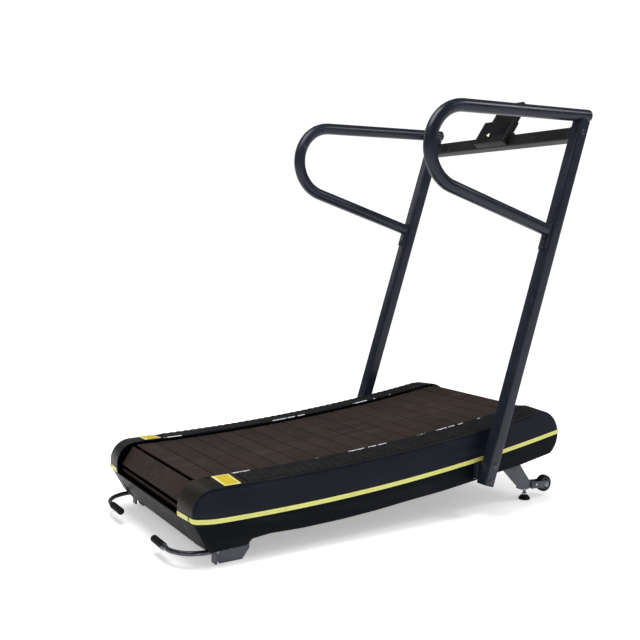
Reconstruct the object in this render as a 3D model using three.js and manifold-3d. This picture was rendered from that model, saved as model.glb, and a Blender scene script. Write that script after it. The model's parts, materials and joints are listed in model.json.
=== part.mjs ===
// A curved manual treadmill: a concave belt of cross slats that runs on two drums between
// two covered side frames, with leaning uprights, looped handrails and a small console.
//
// Millimetres. +X is the runner's right, +Y the front of the machine, +Z up, floor at z = 0.
// Y is first measured from the middle of the yellow trim strips; the last lines of the file
// move the whole machine so that the origin lies under the middle of its box.

import * as THREE from "three";
import { mergeVertices } from "three/addons/utils/BufferGeometryUtils.js";
import Module from "manifold-3d";

const wasm = await Module();
wasm.setup();

// ---------- driving dimensions ----------

const GAP = 0.3; // between pieces that rest against each other
const PLATE = 5; // folded steel brackets

// the running surface: z = DECK_LOW + DECK_CURVE (y - DECK_LOW_Y)^2
const DECK_LOW = 263.5;
const DECK_LOW_Y = -650;
const DECK_CURVE = 5.57e-5;
const DECK_REAR_Y = -700;
const DECK_FRONT_Y = 676;

// the belt of slats
const SLAT_COUNT = 40;
const SLAT_LENGTH = 594;
const SLAT_THICK = 7;
const SLAT_GAP = 3;
const FIRST_SLAT = 9; // along the belt from the rear end of the top run
const SIDE_BELT = { x: 245, width: 30, top: 6.5, bottom: 10.5 };
const DRUM_REACH = 81; // drum axis to the top of a slat
const DRUM_RADIUS = 69.6;
const DRUM_CORE = 25;
const SHAFT_RADIUS = 12.5;
const SHAFT_HALF = 337;

// the side frames and their covers
const BEAM = { x: 320, width: 40, height: 60, wall: 3, drop: 15 };
const BRACKET = { y0: 356, y1: 414, z0: 142, z1: 202, x0: BEAM.x + BEAM.width / 2 + GAP };
const CROSS_TUBE = { size: 40, wall: 3, drop: 35, ys: [-560, 0, 560] };
const COVER = { inner: 302, outer: 414, wall: 3.5, rise: 3, lift: 8, sweep: 9 };
const NOSE = { y: 700.5, z: 267.5, r: 98.5 };
const HEEL = { y: -722, z: 188.2, r: 77.5 };
const STRIP = { height: 17, proud: 1.5, z: 156, curve: 6.2e-5, y: -600, heelY: -700, heelCurve: 9.4e-4 };

// uprights, crossbar and handrails
const POST = { x: 459, size: 50, wall: 3, corner: 8, footY: 373, footZ: 130, topY: 832, topZ: 1513 };
const LEAN = Math.atan2(POST.topY - POST.footY, POST.topZ - POST.footZ);
const CROSSBAR_ALONG = 1399; // up the uprights, from their feet
const RAIL = { x: POST.x, r: 24, wall: 2.5, bend: 148, bendY: 238, bendZ: 1384, endY: 864, armSlope: 18.3 };
const FLANGE = { thick: 6, half: 20, down: 79, up: 26 };

// console, in its own tilted frame: y up the face, z out of the face
const CONSOLE = { y: 755, z: 1462, tilt: 55, width: 190, height: 118, depth: 32 };
const KEY = { x: -18, y: 38, r: 16 };
const DISPLAY = { x0: 4, x1: 82, y0: 34, y1: 100 };

// feet, wheels and lift handles
const FOOT = { x: 358, y: 672, r: 23.5, stud: 6 };
const WHEEL = { x: 364, y: 770, z: 54, r: 34, width: 24, bore: 5.5 };
const FORK_OUT = WHEEL.width / 2 + 7;
const FORK_IN = WHEEL.width / 2 + 2;
const HANDLE = { x: 387, z: 50, r: 8.5, startY: -716.5, backY: -840, bend: 105, tipX: 167 };
const GRIP = { from: 266, r: 12.8 };

// ---------- colours ----------

function finish(color, roughness, metalness = 0) {
  return new THREE.MeshStandardMaterial({ color, roughness, metalness });
}

const NAVY = finish(0x1a1e28, 0.5);
const BLACK_SHELL = finish(0x101419, 0.55);
const POWDER_COAT = finish(0x2b303c, 0.45, 0.3);
const FRAME_PAINT = finish(0x202226, 0.6, 0.2);
const STEEL = finish(0x8a8d92, 0.35, 0.9);
const BRACKET_GREY = finish(0x4b4e56, 0.5, 0.5);
const RUBBER = finish(0x111111, 0.85);
const SLAT_BROWN = finish(0x3c3632, 0.7);
const YELLOW = finish(0xf0f06e, 0.5);
const LABEL_YELLOW = finish(0xe0c83c, 0.5);
const CONSOLE_BLACK = finish(0x161618, 0.5);
const SCREEN = finish(0x0a0c10, 0.15);

// ---------- solids ----------

function toSolid(geometry) {
  const bare = geometry.index ? geometry.toNonIndexed() : geometry.clone();
  bare.deleteAttribute("normal");
  bare.deleteAttribute("uv");
  const merged = mergeVertices(bare, 1e-4);
  const vertProperties = new Float32Array(merged.attributes.position.array);
  const triVerts = new Uint32Array(merged.index.array);
  return new wasm.Manifold(new wasm.Mesh({ numProp: 3, vertProperties, triVerts }));
}

function toGeometry(solid) {
  const mesh = solid.getMesh();
  const geometry = new THREE.BufferGeometry();
  geometry.setAttribute("position", new THREE.BufferAttribute(mesh.vertProperties, 3));
  geometry.setIndex(new THREE.BufferAttribute(mesh.triVerts, 1));
  return geometry;
}

function union(geometries) {
  return toGeometry(geometries.map(toSolid).reduce((whole, piece) => whole.add(piece)));
}

function cut(geometry, tools) {
  return toGeometry(tools.map(toSolid).reduce((whole, tool) => whole.subtract(tool), toSolid(geometry)));
}

function common(a, b) {
  return toGeometry(toSolid(a).intersect(toSolid(b)));
}

function box(x0, x1, y0, y1, z0, z1) {
  const geometry = new THREE.BoxGeometry(x1 - x0, y1 - y0, z1 - z0);
  return geometry.translate((x0 + x1) / 2, (y0 + y1) / 2, (z0 + z1) / 2);
}

// A flat outline in the side view, given as [y, z] points, made solid from x0 to x1.
function sidePlate(points, x0, x1, holes = []) {
  const shape = new THREE.Shape(points.map(([y, z]) => new THREE.Vector2(y, z)));
  for (const hole of holes) shape.holes.push(new THREE.Path(hole.map(([y, z]) => new THREE.Vector2(y, z))));
  const geometry = new THREE.ExtrudeGeometry(shape, { depth: x1 - x0, bevelEnabled: false });
  const toSideView = new THREE.Matrix4().makeBasis(
    new THREE.Vector3(0, 1, 0), new THREE.Vector3(0, 0, 1), new THREE.Vector3(1, 0, 0));
  return geometry.applyMatrix4(toSideView).translate(x0, 0, 0);
}

function circle(cy, cz, r, sides, from = 0, to = 2 * Math.PI) {
  const whole = to - from === 2 * Math.PI;
  const count = whole ? sides : sides + 1;
  return Array.from({ length: count }, (_, i) => {
    const angle = from + (to - from) * i / sides;
    return [cy + r * Math.cos(angle), cz + r * Math.sin(angle)];
  });
}

// A turned piece about the X axis, from [x, radius] points.
function turned(profile, sides) {
  const points = profile.map(([x, r]) => new THREE.Vector2(r, x));
  return new THREE.LatheGeometry(points, sides).rotateZ(-Math.PI / 2);
}

// A turned piece about the Z axis, from [radius, z] points.
function turnedUp(profile, sides) {
  const points = profile.map(([r, z]) => new THREE.Vector2(r, z));
  return new THREE.LatheGeometry(points, sides).rotateX(Math.PI / 2);
}

// The same outline moved inwards by a distance. Outlines here run anticlockwise.
function inset(points, distance) {
  return points.map((point, i) => {
    const before = points[(i + points.length - 1) % points.length];
    const after = points[(i + 1) % points.length];
    const a = new THREE.Vector2(point[0] - before[0], point[1] - before[1]).normalize();
    const b = new THREE.Vector2(after[0] - point[0], after[1] - point[1]).normalize();
    const normal = new THREE.Vector2(-a.y - b.y, a.x + b.x).normalize();
    const stretch = distance / Math.max(0.5, normal.x * -a.y + normal.y * a.x);
    return [point[0] + normal.x * stretch, point[1] + normal.y * stretch];
  });
}

function mirrored(geometry) {
  const copy = geometry.index ? geometry.toNonIndexed() : geometry.clone();
  const position = copy.attributes.position;
  for (let i = 0; i < position.count; i += 3) {
    const swap = [0, 1, 2].map((k) => new THREE.Vector3().fromBufferAttribute(position, i + k));
    [swap[0], swap[2], swap[1]].forEach((v, k) => position.setXYZ(i + k, -v.x, v.y, v.z));
  }
  copy.deleteAttribute("normal");
  copy.deleteAttribute("uv");
  return copy;
}

// ---------- the machine's curves ----------

function deckHeight(y) {
  return DECK_LOW + DECK_CURVE * (y - DECK_LOW_Y) ** 2;
}

function deckSlope(y) {
  return Math.atan(2 * DECK_CURVE * (y - DECK_LOW_Y));
}

function drumCentre(y) {
  const angle = deckSlope(y);
  return [y + DRUM_REACH * Math.sin(angle), deckHeight(y) - DRUM_REACH * Math.cos(angle)];
}

const REAR_DRUM = drumCentre(DECK_REAR_Y);
const FRONT_DRUM = drumCentre(DECK_FRONT_Y);
const AXIS_SLOPE = Math.atan2(FRONT_DRUM[1] - REAR_DRUM[1], FRONT_DRUM[0] - REAR_DRUM[0]);

// Height of the straight line between the two drum axes.
function axisHeight(y) {
  return REAR_DRUM[1] + Math.tan(AXIS_SLOPE) * (y - REAR_DRUM[0]);
}

function steps(from, to, count) {
  return Array.from({ length: count + 1 }, (_, i) => from + (to - from) * i / count);
}

// The belt's closed path at a depth under the slat tops, anticlockwise as seen from +X,
// with y to the right: up over the rear drum is the end of the list.
function beltPath(depth, arcSteps, deckSteps) {
  const r = DRUM_REACH - depth;
  const front = circle(FRONT_DRUM[0], FRONT_DRUM[1], r, arcSteps,
    AXIS_SLOPE - Math.PI / 2, Math.PI / 2 + deckSlope(DECK_FRONT_Y));
  const rear = circle(REAR_DRUM[0], REAR_DRUM[1], r, arcSteps,
    Math.PI / 2 + deckSlope(DECK_REAR_Y), AXIS_SLOPE + 1.5 * Math.PI);
  const deck = steps(DECK_FRONT_Y, DECK_REAR_Y, deckSteps).slice(1, -1).map((y) => {
    const angle = deckSlope(y);
    return [y + depth * Math.sin(angle), deckHeight(y) - depth * Math.cos(angle)];
  });
  return [...front, ...deck, ...rear];
}

function stripHeight(y) {
  return STRIP.z + STRIP.curve * (y - STRIP.y) ** 2 + STRIP.heelCurve * Math.max(0, STRIP.heelY - y) ** 2;
}

// ---------- the side view of the covers ----------

// Outline of a side cover, anticlockwise: nose, rail top, heel, underside.
function coverOutline() {
  const noseTop = Math.PI / 2 + deckSlope(NOSE.y - 15);
  const nose = circle(NOSE.y, NOSE.z, NOSE.r, 10, -0.94, noseTop);
  const top = steps(675, -600, 17).map((y) => [y, deckHeight(y) + COVER.rise]);
  const heel = circle(HEEL.y, HEEL.z, HEEL.r, 5, Math.PI / 2, Math.PI);
  const underside = [
    [-800, 166], [-748, 67], [-736, 52], [-609, 55], [-585, 74], [-520, 80], [-392, 77],
    [-229, 81], [-94, 89], [41, 101], [200, 113], [362, 131], [481, 147], [587, 159],
  ];
  return [...nose, ...top, ...heel, ...underside];
}

// The part of the side view above (or below) the trim strip's edge.
function sideOfStrip(above) {
  const offset = above ? STRIP.height / 2 + GAP : -STRIP.height / 2 - GAP;
  const edge = steps(-900, 900, 36).map((y) => [y, stripHeight(y) + offset]);
  return above ? [...edge, [900, 600], [-900, 600]] : [...edge.reverse(), [-900, -50], [900, -50]];
}

function stripBand() {
  const half = STRIP.height / 2;
  const lower = steps(-900, 900, 36).map((y) => [y, stripHeight(y) - half]);
  const upper = steps(900, -900, 36).map((y) => [y, stripHeight(y) + half]);
  return [...lower, ...upper];
}

const OUTLINE = coverOutline();

// A cover's rail top falls outwards, and its heel is swept back towards the belt.
function shaped(geometry) {
  const { clamp } = THREE.MathUtils;
  const position = geometry.attributes.position;
  for (let i = 0; i < position.count; i++) {
    const [x, y, z] = [position.getX(i), position.getY(i), position.getZ(i)];
    const inwards = (COVER.outer - x) / (COVER.outer - COVER.inner);
    const up = clamp((z - stripHeight(y) - STRIP.height) / 60, 0, 1);
    const back = clamp((-y - 640) / 100, 0, 1);
    position.setXYZ(i, x, y - COVER.sweep * inwards * back, z + COVER.lift * inwards * up);
  }
  return geometry;
}

function coverHollow() {
  return shaped(sidePlate(inset(OUTLINE, COVER.wall), COVER.inner - 10, COVER.outer - COVER.wall));
}

function coverShell() {
  return cut(shaped(sidePlate(OUTLINE, COVER.inner, COVER.outer)), [coverHollow()]);
}

function sideCoverUpper() {
  return common(coverShell(), sidePlate(sideOfStrip(true), COVER.inner - 5, COVER.outer + 5));
}

function sideCoverLower() {
  const below = common(coverShell(), sidePlate(sideOfStrip(false), COVER.inner - 5, COVER.outer + 5));
  const open = box(COVER.inner - 10, COVER.outer - 16, -725, 680, 0, 200);
  const bracketHole = box(COVER.outer - 20, COVER.outer + 10, BRACKET.y0 - 1, BRACKET.y1 + 1,
    BRACKET.z0 - 1, BRACKET.z1 + 1);
  const room = HANDLE.r + 2;
  const rodNotch = box(HANDLE.x - room, HANDLE.x + room, -760, -700, 0, HANDLE.z + room);
  return cut(below, [open, bracketHole, rodNotch]);
}

function trimStrip() {
  const outer = shaped(sidePlate(inset(OUTLINE, -STRIP.proud), COVER.inner, COVER.outer + STRIP.proud));
  return common(cut(outer, [coverHollow()]), sidePlate(stripBand(), COVER.inner - 5, COVER.outer + 5));
}

// A skin that lies on the rail top between two y positions.
function railSkin(y0, y1, x0, x1, thick, count) {
  const base = COVER.rise + 1.5 * GAP;
  const lower = steps(y0, y1, count).map((y) => [y, deckHeight(y) + base]);
  const upper = steps(y1, y0, count).map((y) => [y, deckHeight(y) + base + thick]);
  return shaped(sidePlate([...lower, ...upper], x0, x1));
}

// ---------- the frame ----------

function mainBeam() {
  const y0 = REAR_DRUM[0] + 28 + GAP;
  const y1 = FRONT_DRUM[0] - 28 - GAP;
  const edge = (up) => [y0, y1].map((y) => [y, axisHeight(y) - BEAM.drop + up]);
  const half = BEAM.height / 2;
  const ring = (shrink) => [...edge(-half + shrink), ...edge(half - shrink).reverse()];
  const x0 = BEAM.x - BEAM.width / 2;
  const x1 = BEAM.x + BEAM.width / 2;
  const bore = ring(BEAM.wall);
  const longer = [[bore[0][0] - 5, bore[0][1]], [bore[1][0] + 5, bore[1][1]],
    [bore[2][0] + 5, bore[2][1]], [bore[3][0] - 5, bore[3][1]]];
  return cut(sidePlate(ring(0), x0, x1), [sidePlate(longer, x0 + BEAM.wall, x1 - BEAM.wall)]);
}

function squareRing(half, y, z) {
  return [[y - half, z - half], [y + half, z - half], [y + half, z + half], [y - half, z + half]];
}

function crossTube(y) {
  const z = axisHeight(y) - CROSS_TUBE.drop;
  const half = CROSS_TUBE.size / 2;
  const end = BEAM.x - BEAM.width / 2 - GAP;
  return sidePlate(squareRing(half, y, z), -end, end, [squareRing(half - CROSS_TUBE.wall, y, z).reverse()]);
}

// The curved rail under one side belt, with the rollers that the belt runs on.
function bearingRail() {
  const rollerR = 13;
  const rollerDrop = SIDE_BELT.bottom + GAP + rollerR;
  const tubeHalf = CROSS_TUBE.size / 2;
  const foot = tubeHalf * (1 + Math.tan(AXIS_SLOPE)) - CROSS_TUBE.drop + GAP;
  const lower = [-600, 600].map((y) => [y, axisHeight(y) + foot]);
  const upper = steps(600, -600, 8).map((y) => [y, deckHeight(y) - rollerDrop - 3]);
  const plate = sidePlate([...lower, ...upper], SIDE_BELT.x - 3, SIDE_BELT.x + 3);
  const rollers = steps(-585, 585, 13).map((y) =>
    sidePlate(circle(y, deckHeight(y) - rollerDrop, rollerR, 12), SIDE_BELT.x - 12, SIDE_BELT.x + 12));
  return union([plate, ...rollers]);
}

function bearingBlock([y, z]) {
  const bore = circle(y, z, SHAFT_RADIUS + 0.8, 20).reverse();
  const outline = [[y - 28, z - 45], [y + 28, z - 45], [y + 28, z + 30], [y - 28, z + 30]];
  return sidePlate(outline, BEAM.x - BEAM.width / 2, BEAM.x + BEAM.width / 2, [bore]);
}

// The bracket that carries an upright, clear of the side cover.
function uprightBracket() {
  const hangFrom = axisHeight(385) - BEAM.drop + 20;
  return union([
    box(BRACKET.x0, BRACKET.x0 + 8, BRACKET.y0, BRACKET.y1, BRACKET.z0, hangFrom),
    box(BRACKET.x0 + 4, POST.x - POST.size / 2 - GAP, BRACKET.y0, BRACKET.y1, BRACKET.z0, BRACKET.z1),
  ]);
}

function frontFootBracket() {
  const face = FOOT.x + 13.5;
  const plate = sidePlate([[627, 51], [682, 44], [686, 74], [612, 175], [600, 250], [500, 250], [520, 160]],
    face, face + PLATE);
  const web = box(BEAM.x + BEAM.width / 2 + GAP, face + 1, 515, 585, 230, 248);
  const sole = box(FOOT.x - 17, face + 1, 640, 683, 46, 51);
  const studHole = turnedUp([[0, 30], [FOOT.stud + 1, 30], [FOOT.stud + 1, 60], [0, 60]], 16)
    .translate(FOOT.x, FOOT.y, 0);
  return cut(union([plate, web, sole]), [studHole]);
}

function rearFootBracket() {
  const face = 372;
  const outline = [[-694, 0], [-610, 0], [-583, 34], [-575, 165], [-700, 165], [-711, 70], [-711, 34]];
  const plate = sidePlate(outline,
    face, face + PLATE);
  const sole = box(345, face + 1, -692, -612, 0, PLATE);
  const web = box(BEAM.x + BEAM.width / 2 + GAP, face + 1, -660, -580, 145, 163);
  const handleTab = box(face - 8, face + 24, -716, -709, 6, 72);
  return union([plate, sole, web, handleTab]);
}

// ---------- drums and belt ----------

function drum() {
  const beltEdge = SIDE_BELT.x + SIDE_BELT.width / 2 + 2;
  const beltInner = SIDE_BELT.x - SIDE_BELT.width / 2 - 2;
  const half = [
    [beltInner, DRUM_CORE], [beltInner, DRUM_RADIUS], [beltEdge, DRUM_RADIUS],
    [beltEdge, SHAFT_RADIUS], [SHAFT_HALF, SHAFT_RADIUS], [SHAFT_HALF, 0],
  ];
  const other = half.map(([x, r]) => [-x, r]).reverse();
  return turned([...other, ...half], 24);
}

// The one-way clutch: a ring on the front shaft, bolted inside the right-hand side frame.
function clutchRing() {
  const ring = circle(0, 0, 30, 16);
  const bore = circle(0, 0, SHAFT_RADIUS + 0.8, 16).reverse();
  return sidePlate(ring, 272, 299, [bore]);
}

function pathLength(path) {
  return path.reduce((sum, [y, z], i) => {
    const [y1, z1] = path[(i + 1) % path.length];
    return sum + Math.hypot(y1 - y, z1 - z);
  }, 0);
}

// The point and direction at a distance along a closed path.
function alongPath(path, distance) {
  let left = distance;
  for (let i = 0; ; i = (i + 1) % path.length) {
    const [y, z] = path[i];
    const [y1, z1] = path[(i + 1) % path.length];
    const length = Math.hypot(y1 - y, z1 - z);
    if (left <= length) {
      const t = left / length;
      return { y: y + t * (y1 - y), z: z + t * (z1 - z), angle: Math.atan2(z1 - z, y1 - y) };
    }
    left -= length;
  }
}

// Each slat is a bar across the machine; two side belts join them into one loop.
function slatBelt() {
  const pitchDepth = (SIDE_BELT.top + SIDE_BELT.bottom) / 2;
  const path = beltPath(pitchDepth, 40, 60).reverse();
  const length = pathLength(path);
  const pitch = length / SLAT_COUNT;
  const rearTop = path.findIndex(([y]) => Math.abs(y - DECK_REAR_Y) < 1);
  const pieces = [];
  for (let i = 0; i < SLAT_COUNT; i++) {
    const start = path.slice(rearTop).concat(path.slice(0, rearTop));
    const at = alongPath(start, (FIRST_SLAT + i * pitch) % length);
    const slat = box(-SLAT_LENGTH / 2, SLAT_LENGTH / 2, -(pitch - SLAT_GAP) / 2, (pitch - SLAT_GAP) / 2,
      pitchDepth - SLAT_THICK, pitchDepth);
    pieces.push(slat.rotateX(at.angle).translate(0, at.y, at.z));
  }
  for (const x of [-SIDE_BELT.x, SIDE_BELT.x]) {
    const outer = beltPath(SIDE_BELT.top, 12, 10);
    const inner = beltPath(SIDE_BELT.bottom, 12, 10).reverse();
    pieces.push(sidePlate(outer, x - SIDE_BELT.width / 2, x + SIDE_BELT.width / 2, [inner]));
  }
  return union(pieces);
}

function rearLowerCover() {
  const inner = COVER.inner - GAP;
  const slant = [[-808, 163], [-746, 54], [-600, 57], [-600, 60], [-744, 57], [-805.4, 163]];
  return sidePlate(slant, -inner, inner);
}

function frontLowerCover() {
  const inner = COVER.inner - GAP;
  const outer = circle(FRONT_DRUM[0], FRONT_DRUM[1], 99, 8, -1.25, -0.1);
  const back = circle(FRONT_DRUM[0], FRONT_DRUM[1], 96, 8, -1.25, -0.1).reverse();
  return sidePlate([...outer, ...back], -inner, inner);
}

// ---------- uprights, crossbar and handrails ----------

// A square tube with rounded corners, from one point of the side view to another.
function roundedSquare(half, corner) {
  const centre = half - corner;
  return [[1, 1], [-1, 1], [-1, -1], [1, -1]].flatMap(([a, b], i) =>
    circle(a * centre, b * centre, corner, 3, i * Math.PI / 2, (i + 1) * Math.PI / 2));
}

function squareTube(length) {
  const half = POST.size / 2;
  const outer = roundedSquare(half, POST.corner).map(([a, b]) => new THREE.Vector2(a, b));
  const inner = squareRing(half - POST.wall, 0, 0).reverse().map(([a, b]) => new THREE.Vector2(a, b));
  const shape = new THREE.Shape(outer);
  shape.holes.push(new THREE.Path(inner));
  return new THREE.ExtrudeGeometry(shape, { depth: length, bevelEnabled: false });
}

function upright() {
  const length = Math.hypot(POST.topY - POST.footY, POST.topZ - POST.footZ);
  const tube = squareTube(length).rotateX(-LEAN).translate(POST.x, POST.footY, POST.footZ);
  const tunnel = box(RAIL.x - RAIL.r - 0.5, RAIL.x + RAIL.r + 0.5, 700, 950, 0, 60)
    .translate(0, 0, RAIL.bendZ + RAIL.bend);
  const handrail = new THREE.CylinderGeometry(RAIL.r + 0.6, RAIL.r + 0.6, 300, 24)
    .translate(RAIL.x, 820, RAIL.bendZ + RAIL.bend);
  return cut(tube, [handrail, tunnel]);
}

function crossbarCentre() {
  return [POST.footY + CROSSBAR_ALONG * Math.sin(LEAN), POST.footZ + CROSSBAR_ALONG * Math.cos(LEAN)];
}

function crossbar() {
  const [y, z] = crossbarCentre();
  const half = POST.x - POST.size / 2 - GAP;
  return squareTube(2 * half).translate(0, 0, -half).rotateY(Math.PI / 2).rotateX(-LEAN).translate(0, y, z);
}

// A path that visits chosen stations, so that a straight stretch takes one step.
class StationPath extends THREE.Curve {
  constructor(stations) {
    super();
    this.stations = stations;
  }

  stationAt(u) {
    return this.stations[Math.round(u * (this.stations.length - 1))];
  }

  getPoint(u) {
    return this.stationAt(u).point.clone();
  }

  getPointAt(u) {
    return this.getPoint(u);
  }

  getTangentAt(u) {
    return this.stationAt(u).tangent.clone();
  }
}

function sweptTube(stations, r, wall, sides) {
  const shape = new THREE.Shape(circle(0, 0, r, sides).map(([a, b]) => new THREE.Vector2(a, b)));
  if (wall) {
    const bore = circle(0, 0, r - wall, sides).reverse();
    shape.holes.push(new THREE.Path(bore.map(([a, b]) => new THREE.Vector2(a, b))));
  }
  const extrudePath = new StationPath(stations);
  return new THREE.ExtrudeGeometry(shape, { steps: stations.length - 1, extrudePath });
}

// Where the lower arm of a handrail meets the flange on the upright.
function armEnd() {
  const slope = RAIL.armSlope * Math.PI / 180;
  const startY = RAIL.bendY - RAIL.bend * Math.sin(slope);
  const startZ = RAIL.bendZ - RAIL.bend * Math.cos(slope);
  const rearFace = (z) => POST.footY + (z - POST.footZ) * Math.tan(LEAN) - POST.size / 2 / Math.cos(LEAN);
  const reach = (rearFace(1088) - FLANGE.thick / Math.cos(LEAN) - 2 - startY) / Math.cos(slope);
  return { startY, startZ, slope, y: startY + reach * Math.cos(slope), z: startZ - reach * Math.sin(slope) };
}

function handrail() {
  const end = armEnd();
  const station = (y, z, angle) => ({
    point: new THREE.Vector3(0, y, z),
    tangent: new THREE.Vector3(0, Math.cos(angle), Math.sin(angle)),
  });
  const bend = steps(1.5 * Math.PI - end.slope, Math.PI / 2, 12).map((angle) =>
    station(RAIL.bendY + RAIL.bend * Math.cos(angle), RAIL.bendZ + RAIL.bend * Math.sin(angle),
      angle - Math.PI / 2));
  const stations = [
    station(end.y, end.z, Math.PI - end.slope),
    ...bend,
    station(RAIL.endY, RAIL.bendZ + RAIL.bend, 0),
  ];
  return sweptTube(stations, RAIL.r, RAIL.wall, 14).translate(RAIL.x, 0, 0);
}

// The plate between the lower arm and the upright, parallel to the upright.
function handrailFlange() {
  const { z } = armEnd();
  const along = (z - 9 - POST.footZ) / Math.cos(LEAN);
  const face = -POST.size / 2 - GAP;
  const plate = box(-FLANGE.half, FLANGE.half, face - FLANGE.thick, face, -FLANGE.down, FLANGE.up);
  return plate.translate(0, 0, along).rotateX(-LEAN).translate(POST.x, POST.footY, POST.footZ);
}

function handrailPlug() {
  const z = RAIL.bendZ + RAIL.bend;
  const plug = new THREE.LatheGeometry([
    new THREE.Vector2(0, 0), new THREE.Vector2(RAIL.r - 0.5, 0), new THREE.Vector2(RAIL.r - 2, 4),
    new THREE.Vector2(RAIL.r - 8, 8.5), new THREE.Vector2(0, 10),
  ], 14);
  return plug.translate(RAIL.x, RAIL.endY + GAP, z);
}

// ---------- feet, wheels and lift handles ----------

function levellingFoot() {
  const profile = [
    [0, 0], [FOOT.r, 0], [FOOT.r, 5], [18, 14], [10, 20], [FOOT.stud, 21], [FOOT.stud, 78], [0, 78],
  ];
  return turnedUp(profile, 20);
}

function transportWheel() {
  const half = WHEEL.width / 2;
  const tyre = turned([[-half, 0], [-half, WHEEL.r - 3], [-half + 3, WHEEL.r], [half - 3, WHEEL.r],
    [half, WHEEL.r - 3], [half, 0]], 24);
  const bore = turned([[-half - 2, 0], [-half - 2, WHEEL.bore], [half + 2, WHEEL.bore], [half + 2, 0]], 16);
  return cut(tyre, [bore]);
}

function wheelFork() {
  const arm = [[-81, -9], [0, -14], [14, 0], [0, 14], [-81, 19]];
  const hole = circle(0, 0, WHEEL.bore, 16).reverse();
  const web = box(-FORK_OUT + 1, FORK_OUT - 1, -81, -76, -8.6, 18);
  const right = sidePlate(arm, FORK_IN, FORK_OUT, [hole]);
  const left = sidePlate(arm, -FORK_OUT, -FORK_IN, [hole]);
  return union([right, left, web]);
}

function wheelAxle() {
  const shank = WHEEL.bore - 0.6;
  const head = FORK_OUT + GAP;
  return turned([
    [-head - 5, 0], [-head - 5, 8], [-head, 8], [-head, shank],
    [head, shank], [head, 8], [head + 5, 8], [head + 5, 0],
  ], 16);
}

function liftRod() {
  const run = (x, y, dx, dy) => ({
    point: new THREE.Vector3(x, y, HANDLE.z),
    tangent: new THREE.Vector3(dx, dy, 0),
  });
  const centre = [HANDLE.x - HANDLE.bend, HANDLE.backY + HANDLE.bend];
  const bend = steps(0, -Math.PI / 2, 6).map((angle) =>
    run(centre[0] + HANDLE.bend * Math.cos(angle), centre[1] + HANDLE.bend * Math.sin(angle),
      Math.sin(angle), -Math.cos(angle)));
  const stations = [run(HANDLE.x, HANDLE.startY, 0, -1), ...bend, run(HANDLE.tipX + 6, HANDLE.backY, -1, 0)];
  return sweptTube(stations, HANDLE.r, 0, 12);
}

function liftGrip() {
  const outside = turned([
    [HANDLE.tipX, 0], [HANDLE.tipX, GRIP.r - 3], [HANDLE.tipX + 3, GRIP.r], [GRIP.from, GRIP.r], [GRIP.from, 0],
  ], 16);
  const inside = HANDLE.r + 0.5;
  const bore = turned([
    [HANDLE.tipX + 5, 0], [HANDLE.tipX + 5, inside], [GRIP.from + 5, inside], [GRIP.from + 5, 0],
  ], 16);
  return cut(outside, [bore]).translate(0, HANDLE.backY, HANDLE.z);
}

// ---------- console ----------

function intoConsoleFrame(geometry) {
  return geometry.translate(0, -CONSOLE.y, -CONSOLE.z).rotateX(-CONSOLE.tilt * Math.PI / 180);
}

// Room for the crossbar, in the console's own frame.
function crossbarRoom(clearance) {
  const [y, z] = crossbarCentre();
  const half = POST.size / 2 + clearance;
  const room = box(-CONSOLE.width, CONSOLE.width, -half, half, -half, half).rotateX(-LEAN).translate(0, y, z);
  return intoConsoleFrame(room);
}

function consoleHousing() {
  const half = CONSOLE.width / 2;
  const body = box(-half, half, 0, CONSOLE.height, -CONSOLE.depth, 0);
  const window = box(DISPLAY.x0 - GAP, DISPLAY.x1 + GAP, DISPLAY.y0 - GAP, DISPLAY.y1 + GAP, -3, 5);
  const keyWell = turnedUp([[0, -8], [KEY.r + 1, -8], [KEY.r + 1, 5], [0, 5]], 20).translate(KEY.x, KEY.y, 0);
  return cut(body, [window, keyWell, crossbarRoom(GAP)]);
}

function consoleBackrest() {
  const base = CONSOLE.height + GAP;
  const outline = [[-80, base], [80, base], [80, 205], [62, 230], [-62, 230], [-80, 205]];
  const shape = new THREE.Shape(outline.map(([x, y]) => new THREE.Vector2(x, y)));
  const slab = new THREE.ExtrudeGeometry(shape, { depth: 16, bevelEnabled: false });
  return slab.translate(0, 0, -36);
}

function consoleDisplay() {
  return box(DISPLAY.x0, DISPLAY.x1, DISPLAY.y0, DISPLAY.y1, -2.7, -0.6);
}

function consoleKey() {
  return turnedUp([[0, -5], [KEY.r, -5], [KEY.r, 1.5], [KEY.r - 1.5, 2.5], [0, 2.5]], 20);
}

// The clamp plate under the crossbar that the console is screwed to.
function consoleBracket() {
  const half = POST.size / 2 + GAP;
  const [y, z] = crossbarCentre();
  const plate = box(-60, 60, half, half + 4, -10, half + 30);
  return plate.rotateX(-LEAN).translate(0, y, z);
}

// ---------- assembly ----------

const machine = new THREE.Group();

function place(name, geometry, material, parent = machine) {
  const mesh = new THREE.Mesh(geometry, material);
  mesh.name = name;
  parent.add(mesh);
  return mesh;
}

// A piece made for the runner's right, and its mirror image on the left.
function placePair(name, geometry, material) {
  place(`${name}_right`, geometry, material);
  place(`${name}_left`, mirrored(geometry), material);
}

placePair("main_beam", mainBeam(), FRAME_PAINT);
["rear", "middle", "front"].forEach((name, i) =>
  place(`cross_tube_${name}`, crossTube(CROSS_TUBE.ys[i]), FRAME_PAINT));
placePair("bearing_rail", bearingRail(), STEEL);
placePair("bearing_block_front", bearingBlock(FRONT_DRUM), FRAME_PAINT);
placePair("bearing_block_rear", bearingBlock(REAR_DRUM), FRAME_PAINT);
placePair("upright_bracket", uprightBracket(), POWDER_COAT);
placePair("front_foot_bracket", frontFootBracket(), BRACKET_GREY);
placePair("rear_foot_bracket", rearFootBracket(), BRACKET_GREY);

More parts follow.
